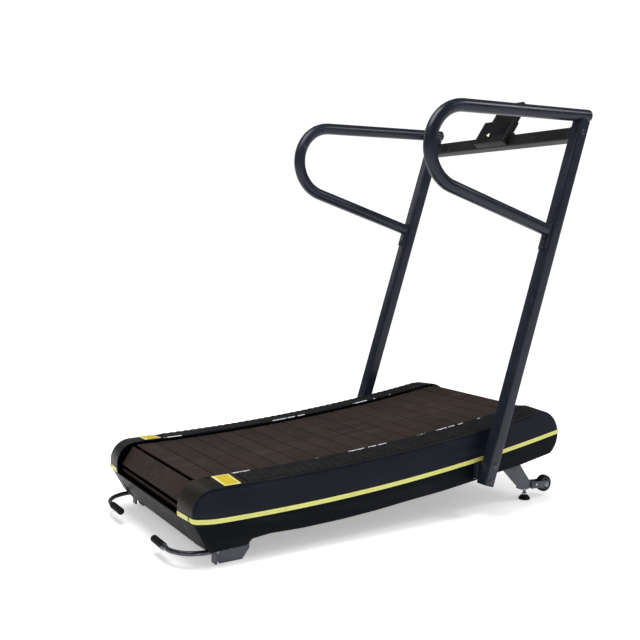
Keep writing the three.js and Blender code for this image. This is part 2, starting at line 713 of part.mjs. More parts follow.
place("front_drum", drum(), STEEL).position.set(0, ...FRONT_DRUM);
place("rear_drum", drum(), STEEL).position.set(0, ...REAR_DRUM);
place("one_way_clutch", clutchRing(), STEEL).position.set(0, ...FRONT_DRUM);
place("slat_belt", slatBelt(), SLAT_BROWN);

placePair("side_cover_upper", sideCoverUpper(), NAVY);
placePair("side_cover_lower", sideCoverLower(), BLACK_SHELL);
placePair("trim_strip", trimStrip(), YELLOW);
placePair("step_pad", railSkin(-600, 675, COVER.inner + 8, COVER.outer - 12, 2.5, 17), RUBBER);
placePair("caution_label", railSkin(-680, -620, COVER.inner + 3, COVER.outer - 5, 0.8, 1), LABEL_YELLOW);
place("rear_lower_cover", rearLowerCover(), BLACK_SHELL);
place("front_lower_cover", frontLowerCover(), BLACK_SHELL);

placePair("upright", upright(), POWDER_COAT);
place("crossbar", crossbar(), FRAME_PAINT);
placePair("handrail", handrail(), POWDER_COAT);
placePair("handrail_flange", handrailFlange(), POWDER_COAT);
placePair("handrail_plug", handrailPlug(), RUBBER);

for (const [side, sign] of [["right", 1], ["left", -1]]) {
  place(`levelling_foot_${side}`, levellingFoot(), RUBBER).position.set(sign * FOOT.x, FOOT.y, 0);
  const truck = new THREE.Group();
  truck.position.set(sign * WHEEL.x, WHEEL.y, WHEEL.z);
  machine.add(truck);
  place(`transport_wheel_${side}`, transportWheel(), RUBBER, truck);
  place(`wheel_fork_${side}`, wheelFork(), BRACKET_GREY, truck);
  place(`wheel_axle_${side}`, wheelAxle(), STEEL, truck);
}
placePair("lift_rod", liftRod(), STEEL);
placePair("lift_grip", liftGrip(), RUBBER);

const consoleGroup = new THREE.Group();
consoleGroup.position.set(0, CONSOLE.y, CONSOLE.z);
consoleGroup.rotation.x = CONSOLE.tilt * Math.PI / 180;
machine.add(consoleGroup);
place("console_housing", consoleHousing(), CONSOLE_BLACK, consoleGroup);
place("console_backrest", consoleBackrest(), CONSOLE_BLACK, consoleGroup);
place("console_display", consoleDisplay(), SCREEN, consoleGroup);
place("console_key", consoleKey(), RUBBER, consoleGroup).position.set(KEY.x, KEY.y, 0);
place("console_bracket", consoleBracket(), FRAME_PAINT);

const extent = new THREE.Box3().setFromObject(machine);
machine.position.y = -(extent.min.y + extent.max.y) / 2;

export default machine;
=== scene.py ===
# %% [markdown]
# # A curved manual treadmill
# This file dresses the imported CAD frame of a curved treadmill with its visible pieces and
# finishes. Nothing turns the belt but the runner: a concave loop of cross slats runs on two
# drums between two covered side frames. Two leaning uprights carry looped handrails and a
# small console. We load the frame, set the camera, define a few mesh and shader tools, make
# the finishes, and then build the pieces from the ground up.

# %% Load the frame
import json
import math

import bmesh
import bpy
from mathutils import Matrix, Vector

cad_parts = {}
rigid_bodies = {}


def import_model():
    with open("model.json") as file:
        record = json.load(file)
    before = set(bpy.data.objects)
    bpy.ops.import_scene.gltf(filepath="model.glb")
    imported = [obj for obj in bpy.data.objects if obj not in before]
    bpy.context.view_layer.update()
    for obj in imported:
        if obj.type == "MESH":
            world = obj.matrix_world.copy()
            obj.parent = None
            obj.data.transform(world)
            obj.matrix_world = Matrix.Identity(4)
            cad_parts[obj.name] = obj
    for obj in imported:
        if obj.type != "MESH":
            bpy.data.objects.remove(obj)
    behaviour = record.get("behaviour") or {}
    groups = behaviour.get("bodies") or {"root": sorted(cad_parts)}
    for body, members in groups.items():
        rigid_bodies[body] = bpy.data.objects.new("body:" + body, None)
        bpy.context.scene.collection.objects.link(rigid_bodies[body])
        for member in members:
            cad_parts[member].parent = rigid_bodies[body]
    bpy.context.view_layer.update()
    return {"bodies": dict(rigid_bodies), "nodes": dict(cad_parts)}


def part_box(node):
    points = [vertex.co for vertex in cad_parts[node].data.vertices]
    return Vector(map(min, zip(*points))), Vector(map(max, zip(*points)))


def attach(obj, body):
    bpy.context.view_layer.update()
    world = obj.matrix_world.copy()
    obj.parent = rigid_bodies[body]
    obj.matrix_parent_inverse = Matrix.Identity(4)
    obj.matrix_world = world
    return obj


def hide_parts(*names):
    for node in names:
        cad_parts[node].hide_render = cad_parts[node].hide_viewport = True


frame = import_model()
print("bodies:", ", ".join(sorted(frame["bodies"])))

# %% [markdown]
# ## The camera
# The eye stands behind the runner's right shoulder, a little over three metres away and just
# above waist height, and looks slightly down. A lens near 51 mm on a full frame keeps the
# long rails from spreading. The camera comes first, so that all that follows can be judged
# through it.

# %% Camera
EYE = (3.0185, -1.9247, 1.0944)
LOOK_DOWN = math.radians(5.76)
HEADING = math.radians(59.04)

camera = bpy.data.objects.new("camera", bpy.data.cameras.new("camera"))
camera.location = EYE
camera.rotation_euler = (math.pi / 2 - LOOK_DOWN, 0, HEADING)
camera.data.lens = 51.04
camera.data.sensor_width = 36
bpy.context.scene.collection.objects.link(camera)
bpy.context.scene.camera = camera
bpy.context.scene.view_settings.view_transform = "Standard"
print("camera at", EYE)

# %% [markdown]
# ## Driving dimensions
# The same dimensions as in the CAD source, here in metres. Y is measured from the middle
# cross tube, and `Y_ZERO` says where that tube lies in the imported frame, so every piece can
# be drawn in the machine's own numbers and shifted once, when it is made.

# %% Dimensions of the machine
tube_low, tube_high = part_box("cross_tube_middle")
Y_ZERO = (tube_low.y + tube_high.y) / 2

DECK_LOW, DECK_LOW_Y, DECK_CURVE = 0.2635, -0.650, 0.0557
DECK_REAR_Y, DECK_FRONT_Y = -0.700, 0.676
SLAT_COUNT, SLAT_HALF, SLAT_THICK, SLAT_GAP = 40, 0.297, 0.007, 0.003
FIRST_SLAT = 0.009
PITCH_DEPTH = 0.0085
BELT_X, BELT_TOP, BELT_BOTTOM = 0.245, 0.0065, 0.0105
DRUM_REACH = 0.081

COVER_INNER, COVER_OUTER, COVER_WALL, COVER_RISE = 0.302, 0.414, 0.0035, 0.003
COVER_LIFT, HEEL_SWEEP = 0.008, 0.009
NOSE_Y, NOSE_Z, NOSE_R = 0.7005, 0.2675, 0.0985
HEEL_Y, HEEL_Z, HEEL_R = -0.722, 0.1882, 0.0775
STRIP_LOW, STRIP_CURVE, STRIP_Y, STRIP_HALF, STRIP_PROUD = 0.156, 0.062, -0.600, 0.0085, 0.0015
STRIP_HEEL_Y, STRIP_HEEL_CURVE = -0.700, 0.94

POST_X, POST_HALF, POST_WALL, POST_CORNER = 0.459, 0.025, 0.003, 0.008
POST_FOOT, POST_TOP = (0.373, 0.130), (0.832, 1.513)
LEAN = math.atan2(POST_TOP[0] - POST_FOOT[0], POST_TOP[1] - POST_FOOT[1])
POST_LENGTH = math.hypot(POST_TOP[0] - POST_FOOT[0], POST_TOP[1] - POST_FOOT[1])
CROSSBAR_ALONG = 1.399

RAIL_R, RAIL_BEND, BEND_Y, BEND_Z, RAIL_END_Y = 0.024, 0.148, 0.238, 1.384, 0.864
RAIL_Z = BEND_Z + RAIL_BEND
ARM_SLOPE = math.radians(18.3)


def deck_height(y):
    return DECK_LOW + DECK_CURVE * (y - DECK_LOW_Y) ** 2


def deck_slope(y):
    return math.atan(2 * DECK_CURVE * (y - DECK_LOW_Y))


def strip_height(y):
    return STRIP_LOW + STRIP_CURVE * (y - STRIP_Y) ** 2 + STRIP_HEEL_CURVE * max(0, STRIP_HEEL_Y - y) ** 2


def drum_centre(y):
    angle = deck_slope(y)
    return y + DRUM_REACH * math.sin(angle), deck_height(y) - DRUM_REACH * math.cos(angle)


REAR_DRUM = drum_centre(DECK_REAR_Y)
FRONT_DRUM = drum_centre(DECK_FRONT_Y)
AXIS_SLOPE = math.atan2(FRONT_DRUM[1] - REAR_DRUM[1], FRONT_DRUM[0] - REAR_DRUM[0])
print("y zero:", round(Y_ZERO, 4), " drums:", REAR_DRUM, FRONT_DRUM)

# %% [markdown]
# ## Shader tools
# A finish is a tree of nodes, and most of a tree is arithmetic: a mask times a shade, one
# minus a mask. Wiring it by hand hides the sum in the wires. A `Wire` is one output of a
# node that can be added and multiplied like a number, and each operator adds its Math node.
# A `Finish` holds the material and has one method, `node`, for every other node.


# %% A wire and a finish
class Wire:
    """One output of a node, used in sums like a number."""

    def __init__(self, finish, socket):
        self.finish = finish
        self.socket = socket

    def __add__(self, other):
        return self.finish.maths("ADD", self, other)

    def __sub__(self, other):
        return self.finish.maths("SUBTRACT", self, other)

    def __rsub__(self, other):
        return self.finish.maths("SUBTRACT", other, self)

    def __mul__(self, other):
        return self.finish.maths("MULTIPLY", self, other)

    __radd__ = __add__
    __rmul__ = __mul__


class Finish:
    """A material and its slot in the record. The shader's own sockets take the constants."""

    def __init__(self, name, slot, constants):
        self.slot = slot
        self.material = bpy.data.materials.new(name)
        self.material.use_nodes = True
        self.tree = self.material.node_tree
        self.shader = self.tree.nodes["Principled BSDF"]
        for socket, value in constants.items():
            self.shader.inputs[socket].default_value = value
        self.place = self.node("ShaderNodeTexCoord", {}, {}, "Object")

    def node(self, kind, settings, sockets, output=0):
        made = self.tree.nodes.new(kind)
        for name, value in settings.items():
            setattr(made, name, value)
        for name, value in sockets.items():
            self.join(made.inputs[name], value)
        return Wire(self, made.outputs[output])

    def join(self, socket, value):
        if isinstance(value, Wire):
            self.tree.links.new(value.socket, socket)
        elif socket.type == "RGBA":
            socket.default_value = (*value, 1)
        else:
            socket.default_value = value

    def maths(self, operation, a, b):
        return self.node("ShaderNodeMath", {"operation": operation}, {0: a, 1: b})

    def size_of(self, value):
        return self.maths("ABSOLUTE", value, 0)

    def feed(self, socket, value):
        self.join(self.shader.inputs[socket], value)

    def stretched(self, stretch):
        return self.node("ShaderNodeVectorMath", {"operation": "MULTIPLY"}, {0: self.place, 1: stretch})

    def noise(self, scale, detail=2, stretch=(1, 1, 1)):
        sockets = {"Vector": self.stretched(stretch), "Scale": scale, "Detail": detail}
        return self.node("ShaderNodeTexNoise", {}, sockets)

    def cells(self, scale):
        sockets = {"Vector": self.place, "Scale": scale}
        return self.node("ShaderNodeTexVoronoi", {"feature": "SMOOTH_F1"}, sockets)

    def spread(self, value, low, high, to_low=0, to_high=1):
        sockets = {"Value": value, 1: low, 2: high, 3: to_low, 4: to_high}
        return self.node("ShaderNodeMapRange", {"clamp": True}, sockets)

    def blend(self, share, a, b):
        return self.node("ShaderNodeMix", {"data_type": "RGBA"}, {0: share, 6: a, 7: b}, 2)

    def along(self, axis):
        return self.node("ShaderNodeSeparateXYZ", {}, {0: self.place}, axis)

    def edges(self, low, high):
        """A mask of the piece's convex edges."""
        sharp = self.node("ShaderNodeNewGeometry", {}, {}, "Pointiness")
        return self.spread(sharp, low, high)

    def emboss(self, height, depth, strength):
        sockets = {"Strength": strength, "Distance": depth, "Height": height}
        self.feed("Normal", self.node("ShaderNodeBump", {}, sockets))


def tint(red, green, blue):
    """A colour given as it looks on a screen, from 0 to 255, as the linear light it stands for."""
    def linear(value):
        share = value / 255
        return share / 12.92 if share <= 0.04045 else ((share + 0.055) / 1.055) ** 2.4
    return tuple(linear(value) for value in (red, green, blue))


print("shader tools ready")

# %% [markdown]
# ## Paints
# The uprights and handrails are powder coated: a satin skin with the faint dimples called
# orange peel, which a fine noise gives as bump. Slow clouds in colour and roughness keep a
# long tube from looking printed, and a little bare metal shows where edges are knocked.


# %% Powder coat and bracket paint
def painted(name, slot, colour, pale, rough, specular, wear=0.0):
    coat = Finish(name, slot, {"Specular IOR Level": specular, "Coat Roughness": 0.22})
    cloud = coat.spread(coat.noise(9, 3), 0.35, 0.65)
    peel = coat.noise(650, 2)
    scuffs = coat.spread(coat.noise(60, 4, (1, 1, 0.35)), 0.62, 0.74)
    knocked = coat.edges(0.53, 0.62) * coat.spread(coat.noise(120, 3), 0.48, 0.62) * wear
    body = coat.blend(cloud, colour, pale)
    scuffed = coat.blend(scuffs * 0.08, body, tint(110, 114, 124))
    coat.feed("Base Color", coat.blend(knocked, scuffed, tint(120, 122, 128)))
    coat.feed("Roughness", cloud * 0.08 + scuffs * 0.1 + peel * 0.06 + (rough - 0.07))
    coat.feed("Coat Weight", 0.05 - knocked * 0.05)
    coat.emboss(peel, 0.00025, 0.35)
    return coat


POWDER_COAT = painted("powder coat", "powder_coat", tint(21, 26, 36), tint(27, 32, 44), 0.29, 0.3)
FRAME_PAINT = painted("frame paint", "frame_steel", tint(18, 18, 19), tint(24, 24, 25), 0.42, 0.12)
BRACKET_PAINT = painted("bracket paint", "bracket_steel", tint(64, 67, 75), tint(76, 79, 87), 0.5, 0.3, 0.3)
print("paints:", POWDER_COAT.material.name, FRAME_PAINT.material.name, BRACKET_PAINT.material.name)

# %% [markdown]
# ## Bare metals
# The drums and rollers are turned steel, so their marks run round the axis. Bolts are zinc
# plated, with a blotchy, slightly blue-grey bloom. The lift rods are blackened steel with a
# bright, long glint and a few rubbed spots.


# %% Steel, zinc and blackened rod
def metal(name, dark, light, rough, marks):
    steel = Finish(name, "bright_steel", {"Metallic": 1.0})
    bloom = steel.spread(steel.noise(70, 4), 0.35, 0.68)
    brushed = steel.noise(300, 3, marks)
    steel.feed("Base Color", steel.blend(bloom, dark, light))
    steel.feed("Roughness", bloom * 0.12 + brushed * 0.16 + (rough - 0.14))
    steel.emboss(brushed, 0.0002, 0.2)
    return steel


TURNED_STEEL = metal("turned steel", tint(120, 123, 128), tint(165, 168, 172), 0.34, (6, 1, 1))
ZINC = metal("zinc plate", tint(128, 131, 138), tint(178, 182, 190), 0.3, (1, 1, 1))


def blackened_rod():
    rod = Finish("blackened rod", "dark_rod", {"Metallic": 0.85})
    rubbed = rod.spread(rod.noise(45, 4), 0.55, 0.72)
    fine = rod.noise(500)
    rod.feed("Base Color", rod.blend(rubbed, tint(74, 76, 82), tint(124, 127, 134)))
    rod.feed("Roughness", 0.3 + fine * 0.1 - rubbed * 0.06)
    rod.emboss(fine, 0.0001, 0.2)
    return rod


ROD = blackened_rod()
print("metals:", TURNED_STEEL.material.name, ZINC.material.name, ROD.material.name)

# %% [markdown]
# ## Moulded covers
# The covers are textured mouldings: the mould is etched with a fine pebble, which a Voronoi
# pattern copies well. They are navy above the trim and black below. The rail tops are a
# warmer charcoal, so the navy is kept where the surface faces sideways. Hands, shoes and
# cleaning leave soft smears.


# %% Cover plastics
def moulded(name, slot, colour, pale, rough, specular, pebble=900, depth=0.00012, crown=None):
    shell = Finish(name, slot, {"Specular IOR Level": specular})
    cloud = shell.spread(shell.noise(5, 3), 0.35, 0.65)
    smears = shell.spread(shell.noise(16, 4, (1, 0.25, 1.6)), 0.52, 0.75)
    grain = shell.cells(pebble)
    body = shell.blend(cloud, colour, pale)
    if crown:
        outwards = shell.node("ShaderNodeTexCoord", {}, {}, "Normal")
        sideways = shell.size_of(shell.node("ShaderNodeSeparateXYZ", {}, {0: outwards}))
        body = shell.blend(shell.spread(sideways, 0.5, 0.72), crown, body)
    shell.feed("Base Color", shell.blend(smears * 0.05, body, tint(92, 96, 108)))
    shell.feed("Roughness", rough + cloud * 0.05 + smears * 0.08)
    shell.emboss(grain, depth, 0.5)
    return shell


NAVY_SHELL = moulded("navy moulding", "upper_cover", tint(13, 16, 27), tint(17, 20, 32), 0.36, 0.1,
                     crown=tint(36, 33, 30))
BLACK_SHELL = moulded("black moulding", "lower_cover", tint(6, 10, 14), tint(9, 13, 18), 0.42, 0.05)
CONSOLE_SHELL = moulded("console moulding", "console_shell", tint(17, 17, 18), tint(23, 23, 24), 0.38, 0.15,
                        1300, 0.0001)
print("mouldings:", NAVY_SHELL.material.name, BLACK_SHELL.material.name)


# %% [markdown]
# The thin lip along each belt edge is dark, with fine grit in its roughness and bump. Painted
# highlights lie in its colour: a noise stretched along the lip places near-white dashes that
# stand for reflections, and the lip is smoother there.


# %% Lip with painted glints
def lip_with_painted_glints():
    lip = Finish("lip with painted glints", "upper_cover", {"Specular IOR Level": 0.3})
    # The near-white dashes these masks place are painted highlights: reflections painted into the lip's
    # colour.
    glint_places = lip.spread(lip.noise(5.5, 2, (0.01, 1, 0.01)), 0.525, 0.54)
    grit = lip.noise(260, 3)
    glint_gaps = lip.spread(lip.noise(26, 2, (0.01, 1, 0.01)), 0.42, 0.46)
    painted_glint = glint_places * glint_gaps
    lip.feed("Base Color", lip.blend(painted_glint, tint(16, 17, 20), tint(222, 222, 226)))
    lip.feed("Roughness", 0.55 - painted_glint * 0.25 + grit * 0.05)
    lip.emboss(grit, 0.0001, 0.2)
    return lip


LIP = lip_with_painted_glints()
print("lip:", LIP.material.name)

# %% [markdown]
# ## Yellow trim and labels
# The trim is a lemon yellow extrusion, coloured right through, with faint drag lines along
# its length. The label is printed film with a pale border, which is simply the distance
# from the label's edges compared with a border width.


# %% Yellow plastics
def trim_yellow():
    trim = Finish("trim yellow", "trim_yellow", {"Specular IOR Level": 0.35, "Coat Roughness": 0.15})
    cloud = trim.spread(trim.noise(11, 3), 0.35, 0.65)
    drag = trim.noise(420, 2, (1, 0.03, 1))
    grime = trim.spread(trim.noise(38, 4), 0.6, 0.78)
    body = trim.blend(cloud, tint(204, 205, 110), tint(212, 213, 122))
    trim.feed("Base Color", trim.blend(grime * 0.22, body, tint(140, 138, 70)))
    trim.feed("Roughness", 0.36 + drag * 0.1 + grime * 0.15)
    trim.feed("Coat Weight", 0.15 - grime * 0.1)
    trim.emboss(drag, 0.00012, 0.25)
    return trim


LABEL_X, LABEL_Y, LABEL_HALF_X, LABEL_HALF_Y, LABEL_BORDER = 0.356, -0.655, 0.051, 0.030, 0.006


def label_film():
    film = Finish("label film", "label_yellow", {"Specular IOR Level": 0.4})
    from_middle_x = film.size_of(film.size_of(film.along("X")) - LABEL_X)
    from_middle_y = film.size_of(film.along("Y") - (LABEL_Y + Y_ZERO))
    in_x = film.maths("LESS_THAN", from_middle_x, LABEL_HALF_X - LABEL_BORDER)
    in_y = film.maths("LESS_THAN", from_middle_y, LABEL_HALF_Y - LABEL_BORDER)
    inside = in_x * in_y
    scuffs = film.spread(film.noise(70, 5, (1, 0.3, 1)), 0.56, 0.72)
    printed = film.blend(inside, tint(226, 218, 140), tint(200, 178, 26))
    film.feed("Base Color", film.blend(scuffs * 0.3, printed, tint(120, 108, 60)))
    film.feed("Roughness", 0.42 + scuffs * 0.25)
    film.emboss(scuffs, 0.0001, 0.3)
    return film


TRIM = trim_yellow()
FILM = label_film()
print("yellows:", TRIM.material.name, FILM.material.name)

# %% [markdown]
# ## Rubbers
# Each slat is a bar under a dark brown rubber skin. No two slats age alike, so every slat
# carries its own tone as a mesh attribute. Reddish bloom, a paler track worn by feet and
# fine grit sit on top. The other rubbers are plain black with mould bloom.


# %% Slat rubber and black rubbers
def slat_rubber():
    skin = Finish("slat rubber", "slat_rubber", {"Specular IOR Level": 0.12})
    tone = skin.node("ShaderNodeAttribute", {"attribute_name": "tone"}, {}, "Fac")
    red = skin.spread(skin.noise(4.5, 3, (1, 1.6, 1)), 0.47, 0.66)
    track = skin.spread(skin.size_of(skin.along("X")), 0.08, 0.21, 1, 0)
    streaks = skin.spread(skin.noise(30, 4, (1, 0.22, 1)), 0.48, 0.75)
    grit = skin.noise(1100, 2)
    pebble = skin.cells(420)
    brown = skin.blend(tone, tint(42, 35, 32), tint(50, 41, 37))
    warm = skin.blend(red * 0.5, brown, tint(60, 43, 38))
    dusty = skin.blend(streaks * track * 0.14 + grit * 0.05, warm, tint(100, 94, 86))
    skin.feed("Base Color", dusty)
    skin.feed("Roughness", 0.78 - streaks * track * 0.1 - tone * 0.06)
    skin.emboss(pebble + grit * 0.4, 0.0003, 0.55)
    return skin


def black_rubber(name, slot, colour, pale, rough, grain, depth):
    skin = Finish(name, slot, {"Specular IOR Level": 0.15})
    bloom = skin.spread(skin.noise(26, 4), 0.42, 0.7)
    fine = skin.noise(grain, 3)
    skin.feed("Base Color", skin.blend(bloom * 0.5, colour, pale))
    skin.feed("Roughness", rough + bloom * 0.08)
    skin.emboss(fine, depth, 0.5)
    return skin


SLAT_RUBBER = slat_rubber()
STEP_RUBBER = black_rubber("step rubber", "step_rubber", tint(23, 24, 26), tint(37, 38, 40),
                           0.6, 700, 0.0003)
BLACK_RUBBER = black_rubber("black rubber", "black_rubber", tint(16, 16, 17), tint(30, 31, 33),
                            0.56, 600, 0.0002)
print("rubbers:", SLAT_RUBBER.material.name, STEP_RUBBER.material.name, BLACK_RUBBER.material.name)


# %% [markdown]
# The display is switched off, so it is a smoked window: nearly black, very smooth, with
# fingerprints that only change how sharp the shine is. The mark on the key is pale print.


# %% Smoked window and key print
def smoked_window():
    glass = Finish("smoked window", "screen", {"Specular IOR Level": 0.3, "Coat Roughness": 0.03})
    prints = glass.spread(glass.noise(120, 4), 0.5, 0.7)
    haze = glass.noise(18, 2)
    glass.feed("Base Color", glass.blend(haze, tint(8, 9, 12), tint(14, 16, 20)))
    glass.feed("Roughness", 0.08 + prints * 0.14)
    glass.feed("Coat Weight", 0.25 - prints * 0.15)
    return glass


def key_print():
    ink = Finish("key print", "trim_yellow", {"Specular IOR Level": 0.35})
    worn = ink.spread(ink.noise(400, 4), 0.5, 0.75)
    ink.feed("Base Color", ink.blend(worn * 0.4, tint(244, 244, 206), tint(190, 188, 150)))
    ink.feed("Roughness", 0.4 + worn * 0.2)
    return ink


SMOKED = smoked_window()
KEY_PRINT = key_print()
print("window and print ready")

# %% [markdown]
# ## Mesh tools
# Most parts of this machine are folded plate, tube and turned stock, so three ways of making
# a mesh cover nearly all of it: a side view pushed out across the machine with its edges
# rolled over, a profile turned round an axis, and a ring swept along a bend. A form is a pair
# of lists, points and faces, until it becomes a piece.


# %% Outlines
def steps(start, end, count):
    return [start + (end - start) * i / count for i in range(count + 1)]


def arc(centre_y, centre_z, radius, start, end, count):
    return [(centre_y + radius * math.cos(a), centre_z + radius * math.sin(a))
            for a in steps(start, end, count)]


def area(outline):
    following = outline[1:] + outline[:1]
    return sum(a[0] * b[1] - b[0] * a[1] for a, b in zip(outline, following)) / 2


def inset(outline, distance):
    """The outline moved inwards, whichever way round it runs."""
    turn = math.copysign(1, area(outline))
    moved_points = []
    for i, here in enumerate(outline):
        before = Vector(outline[i - 1])
        after = Vector(outline[(i + 1) % len(outline)])
        a = (Vector(here) - before).normalized()
        b = (after - Vector(here)).normalized()
        normal = Vector((-a.y - b.y, a.x + b.x)).normalized()
        reach = distance * turn / max(0.5, normal.x * -a.y + normal.y * a.x)
        moved_points.append((here[0] + normal.x * reach, here[1] + normal.y * reach))
    return moved_points


def rounded(outline, radius, count=4):
    """The outline with every corner turned on a radius."""
    result = []
    for i, here in enumerate(outline):
        here = Vector(here)
        back = Vector(outline[i - 1]) - here
        ahead = Vector(outline[(i + 1) % len(outline)]) - here
        bend = back.angle(ahead)
        cut = min(radius / math.tan(bend / 2), 0.48 * back.length, 0.48 * ahead.length)
        start = here + back.normalized() * cut
        end = here + ahead.normalized() * cut
        for t in steps(0, 1, count):
            on_curve = start * (1 - t) ** 2 + here * 2 * t * (1 - t) + end * t ** 2
            result.append(tuple(on_curve))
    return result


def rectangle(y0, y1, z0, z1):
    return [(y0, z0), (y1, z0), (y1, z1), (y0, z1)]


def panel(y0, y1, z0, z1, radius, count=4):
    return rounded(rectangle(y0, y1, z0, z1), radius, count)


print("a 2 by 1 rectangle has area", area(rectangle(0, 2, 0, 1)))


# %% Forms
def skin(rings, closed=False):
    """Faces between rings of equal count. The first and last ring are filled unless closed."""
    count, last = len(rings[0]), len(rings) - 1
    points = [point for ring in rings for point in ring]
    faces = []
    for k in range(len(rings) if closed else last):
        a, b = k * count, (k + 1) % len(rings) * count
        faces += [(a + i, a + (i + 1) % count, b + (i + 1) % count, b + i) for i in range(count)]
    if not closed:
        faces += [tuple(range(count)), tuple(last * count + i for i in range(count))]
    return points, faces


def pushed(outline, x0, x1, roll=0.001, far_roll=None, count=3):
    """A side view made solid from x0 to x1, its edges rolled over."""
    far_roll = roll if far_roll is None else far_roll
    near, far = [], []
    for angle in steps(0, math.pi / 2, count):
        lift, draw = 1 - math.cos(angle), 1 - math.sin(angle)
        near.append([(x0 + roll * lift, *p) for p in inset(outline, roll * draw)])
        far.append([(x1 - far_roll * lift, *p) for p in inset(outline, far_roll * draw)])
    return skin(near + far[::-1])


def turned(profile, sides=32, closed=False):
    """A profile of (x, radius) turned round the X axis."""
    angles = [2 * math.pi * i / sides for i in range(sides)]
    return skin([[(x, r * math.cos(a), r * math.sin(a)) for a in angles] for x, r in profile], closed)


def swept(stations, radius, normal, sides=32):
    """A round bar through (point, direction) stations that lie in one plane."""
    rings = []
    for point, direction in stations:
        across = direction.cross(normal)
        rings.append([point + radius * (math.cos(a) * normal + math.sin(a) * across)
                      for a in (2 * math.pi * i / sides for i in range(sides))])
    return skin(rings)


def joined(*forms):
    points, faces = [], []
    for some_points, some_faces in forms:
        faces += [tuple(i + len(points) for i in face) for face in some_faces]
        points += list(some_points)
    return points, faces


def moved(form, matrix):
    return [matrix @ Vector(p) for p in form[0]], form[1]


def shifted(form, x=0, y=0, z=0):
    return moved(form, Matrix.Translation((x, y, z)))


def symmetric(half):
    """A turned profile and, before it, its mirror image."""
    return [(-x, radius) for x, radius in half[::-1]] + half


def mirrored(form):
    return [(-p[0], p[1], p[2]) for p in form[0]], [face[::-1] for face in form[1]]


def stood_up(form):
    """The X axis of a form becomes Z, as for a foot or a plate that faces up."""
    return [(p[1], p[2], p[0]) for p in form[0]], form[1]


print("a turned disc has", len(turned([(0, 1), (1, 1)])[1]), "faces")


# %% Cutting and making
def mesh_of(name, form):
    mesh = bpy.data.meshes.new(name)
    mesh.from_pydata([tuple(p) for p in form[0]], [], form[1])
    outward = bmesh.new()
    outward.from_mesh(mesh)
    bmesh.ops.recalc_face_normals(outward, faces=outward.faces)
    outward.to_mesh(mesh)
    outward.free()
    return mesh


def carved(form, tool, operation="DIFFERENCE"):
    """The form less the tool, or what both share."""
    objects = [bpy.data.objects.new(n, mesh_of(n, f)) for n, f in (("stock", form), ("tool", tool))]
    for one in objects:
        bpy.context.scene.collection.objects.link(one)
    cut = objects[0].modifiers.new("cut", "BOOLEAN")
    cut.operation, cut.solver, cut.object = operation, "EXACT", objects[1]
    graph = bpy.context.evaluated_depsgraph_get()
    result = objects[0].evaluated_get(graph).to_mesh()
    made = [tuple(v.co) for v in result.vertices], [tuple(f.vertices) for f in result.polygons]
    for one in objects:
        bpy.data.meshes.remove(one.data)
    return made


def make(name, form, finish, body="frame", stands_for="", crease=32):
    """A piece of the machine from a form, riding on a body."""
    shape = [(p[0], p[1] + Y_ZERO, p[2]) for p in form[0]]
    mesh = mesh_of(name, (shape, form[1]))
    mesh.materials.append(finish.material)
    mesh.shade_smooth()
    mesh.set_sharp_from_angle(angle=math.radians(crease))
    one = bpy.data.objects.new(name, mesh)
    bpy.context.scene.collection.objects.link(one)
    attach(one, body)
    if stands_for:
        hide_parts(stands_for)
    return one


def make_pair(name, form, finish, body="frame", stands_for="", crease=32):
    """The right-hand piece and its mirror image. {side} in a body's name is right or left."""
    for side, shape in (("right", form), ("left", mirrored(form))):
        node = f"{stands_for}_{side}" if stands_for else ""
        make(f"{name}_{side}", shape, finish, body.format(side=side), node, crease)


print("mesh tools ready")

# %% [markdown]
# ## Fasteners
# A socket bolt is turned, but its socket is a hexagon. If every ring has the same number of
# points, round rings and hexagonal rings skin together, and the head is one clean mesh.


# %% Bolts and nuts
RING = 24


def hexagon(radius, angle):
    """How far a hexagon's edge is from its middle at an angle."""
    return radius * math.cos(math.pi / 6) / math.cos(angle % (math.pi / 3) - math.pi / 6)


def lock_ring(x, radius, six_sided, cap=None):
    ring = []
    for i in range(RING):
        angle = 2 * math.pi * i / RING
        reach = hexagon(radius, angle) if six_sided else radius
        reach = min(reach, cap or reach)
        ring.append((x, reach * math.cos(angle), reach * math.sin(angle)))
    return ring


def facing(form, at, direction):
    """A form made along +X, turned to a direction and moved to a point."""
    turn = Vector((1, 0, 0)).rotation_difference(Vector(direction)).to_matrix().to_4x4()
    return moved(form, Matrix.Translation(at) @ turn)


def socket_bolt(at, direction, radius=0.007, height=0.004, washer=0.0012):
    top = washer + height
    plate = turned([(0, radius * 1.4), (washer * 0.7, radius * 1.4), (washer, radius * 1.33)], RING)
    head = skin([
        lock_ring(washer * 0.5, radius, False), lock_ring(washer + height * 0.35, radius, False),
        lock_ring(washer + height * 0.8, radius * 0.88, False), lock_ring(top, radius * 0.68, False),
        lock_ring(top, radius * 0.5, True), lock_ring(washer + height * 0.4, radius * 0.47, True)])
    return facing(joined(plate, head), at, direction)


def hex_nut(at, direction, radius=0.009, height=0.006):
    head = skin([
        lock_ring(0, radius, True, radius * 0.93), lock_ring(height * 0.12, radius, True),
        lock_ring(height * 0.85, radius, True), lock_ring(height, radius, True, radius * 0.9)])
    return facing(head, at, direction)


print("a socket bolt has", len(socket_bolt((0, 0, 0), (1, 0, 0))[1]), "faces")

# %% [markdown]
# ## Inner frame
# The beams, cross tubes, bearing rails and blocks are already right in the CAD. They stay,
# and get their paint and a small bevel, because no real edge is a knife edge. A Weld modifier
# first joins the split corners, or each face would be bevelled alone.


# %% Dress the CAD's own parts
def dress(nodes, finish, width=0.0008):
    for name in nodes:
        node = frame["nodes"][name]
        for slot in node.material_slots:
            slot.link = "OBJECT"
            slot.material = finish.material
        weld = node.modifiers.new("weld", "WELD")
        weld.merge_threshold = 0.00001
        edge = node.modifiers.new("edge", "BEVEL")
        edge.width, edge.segments, edge.angle_limit = width, 2, math.radians(50)


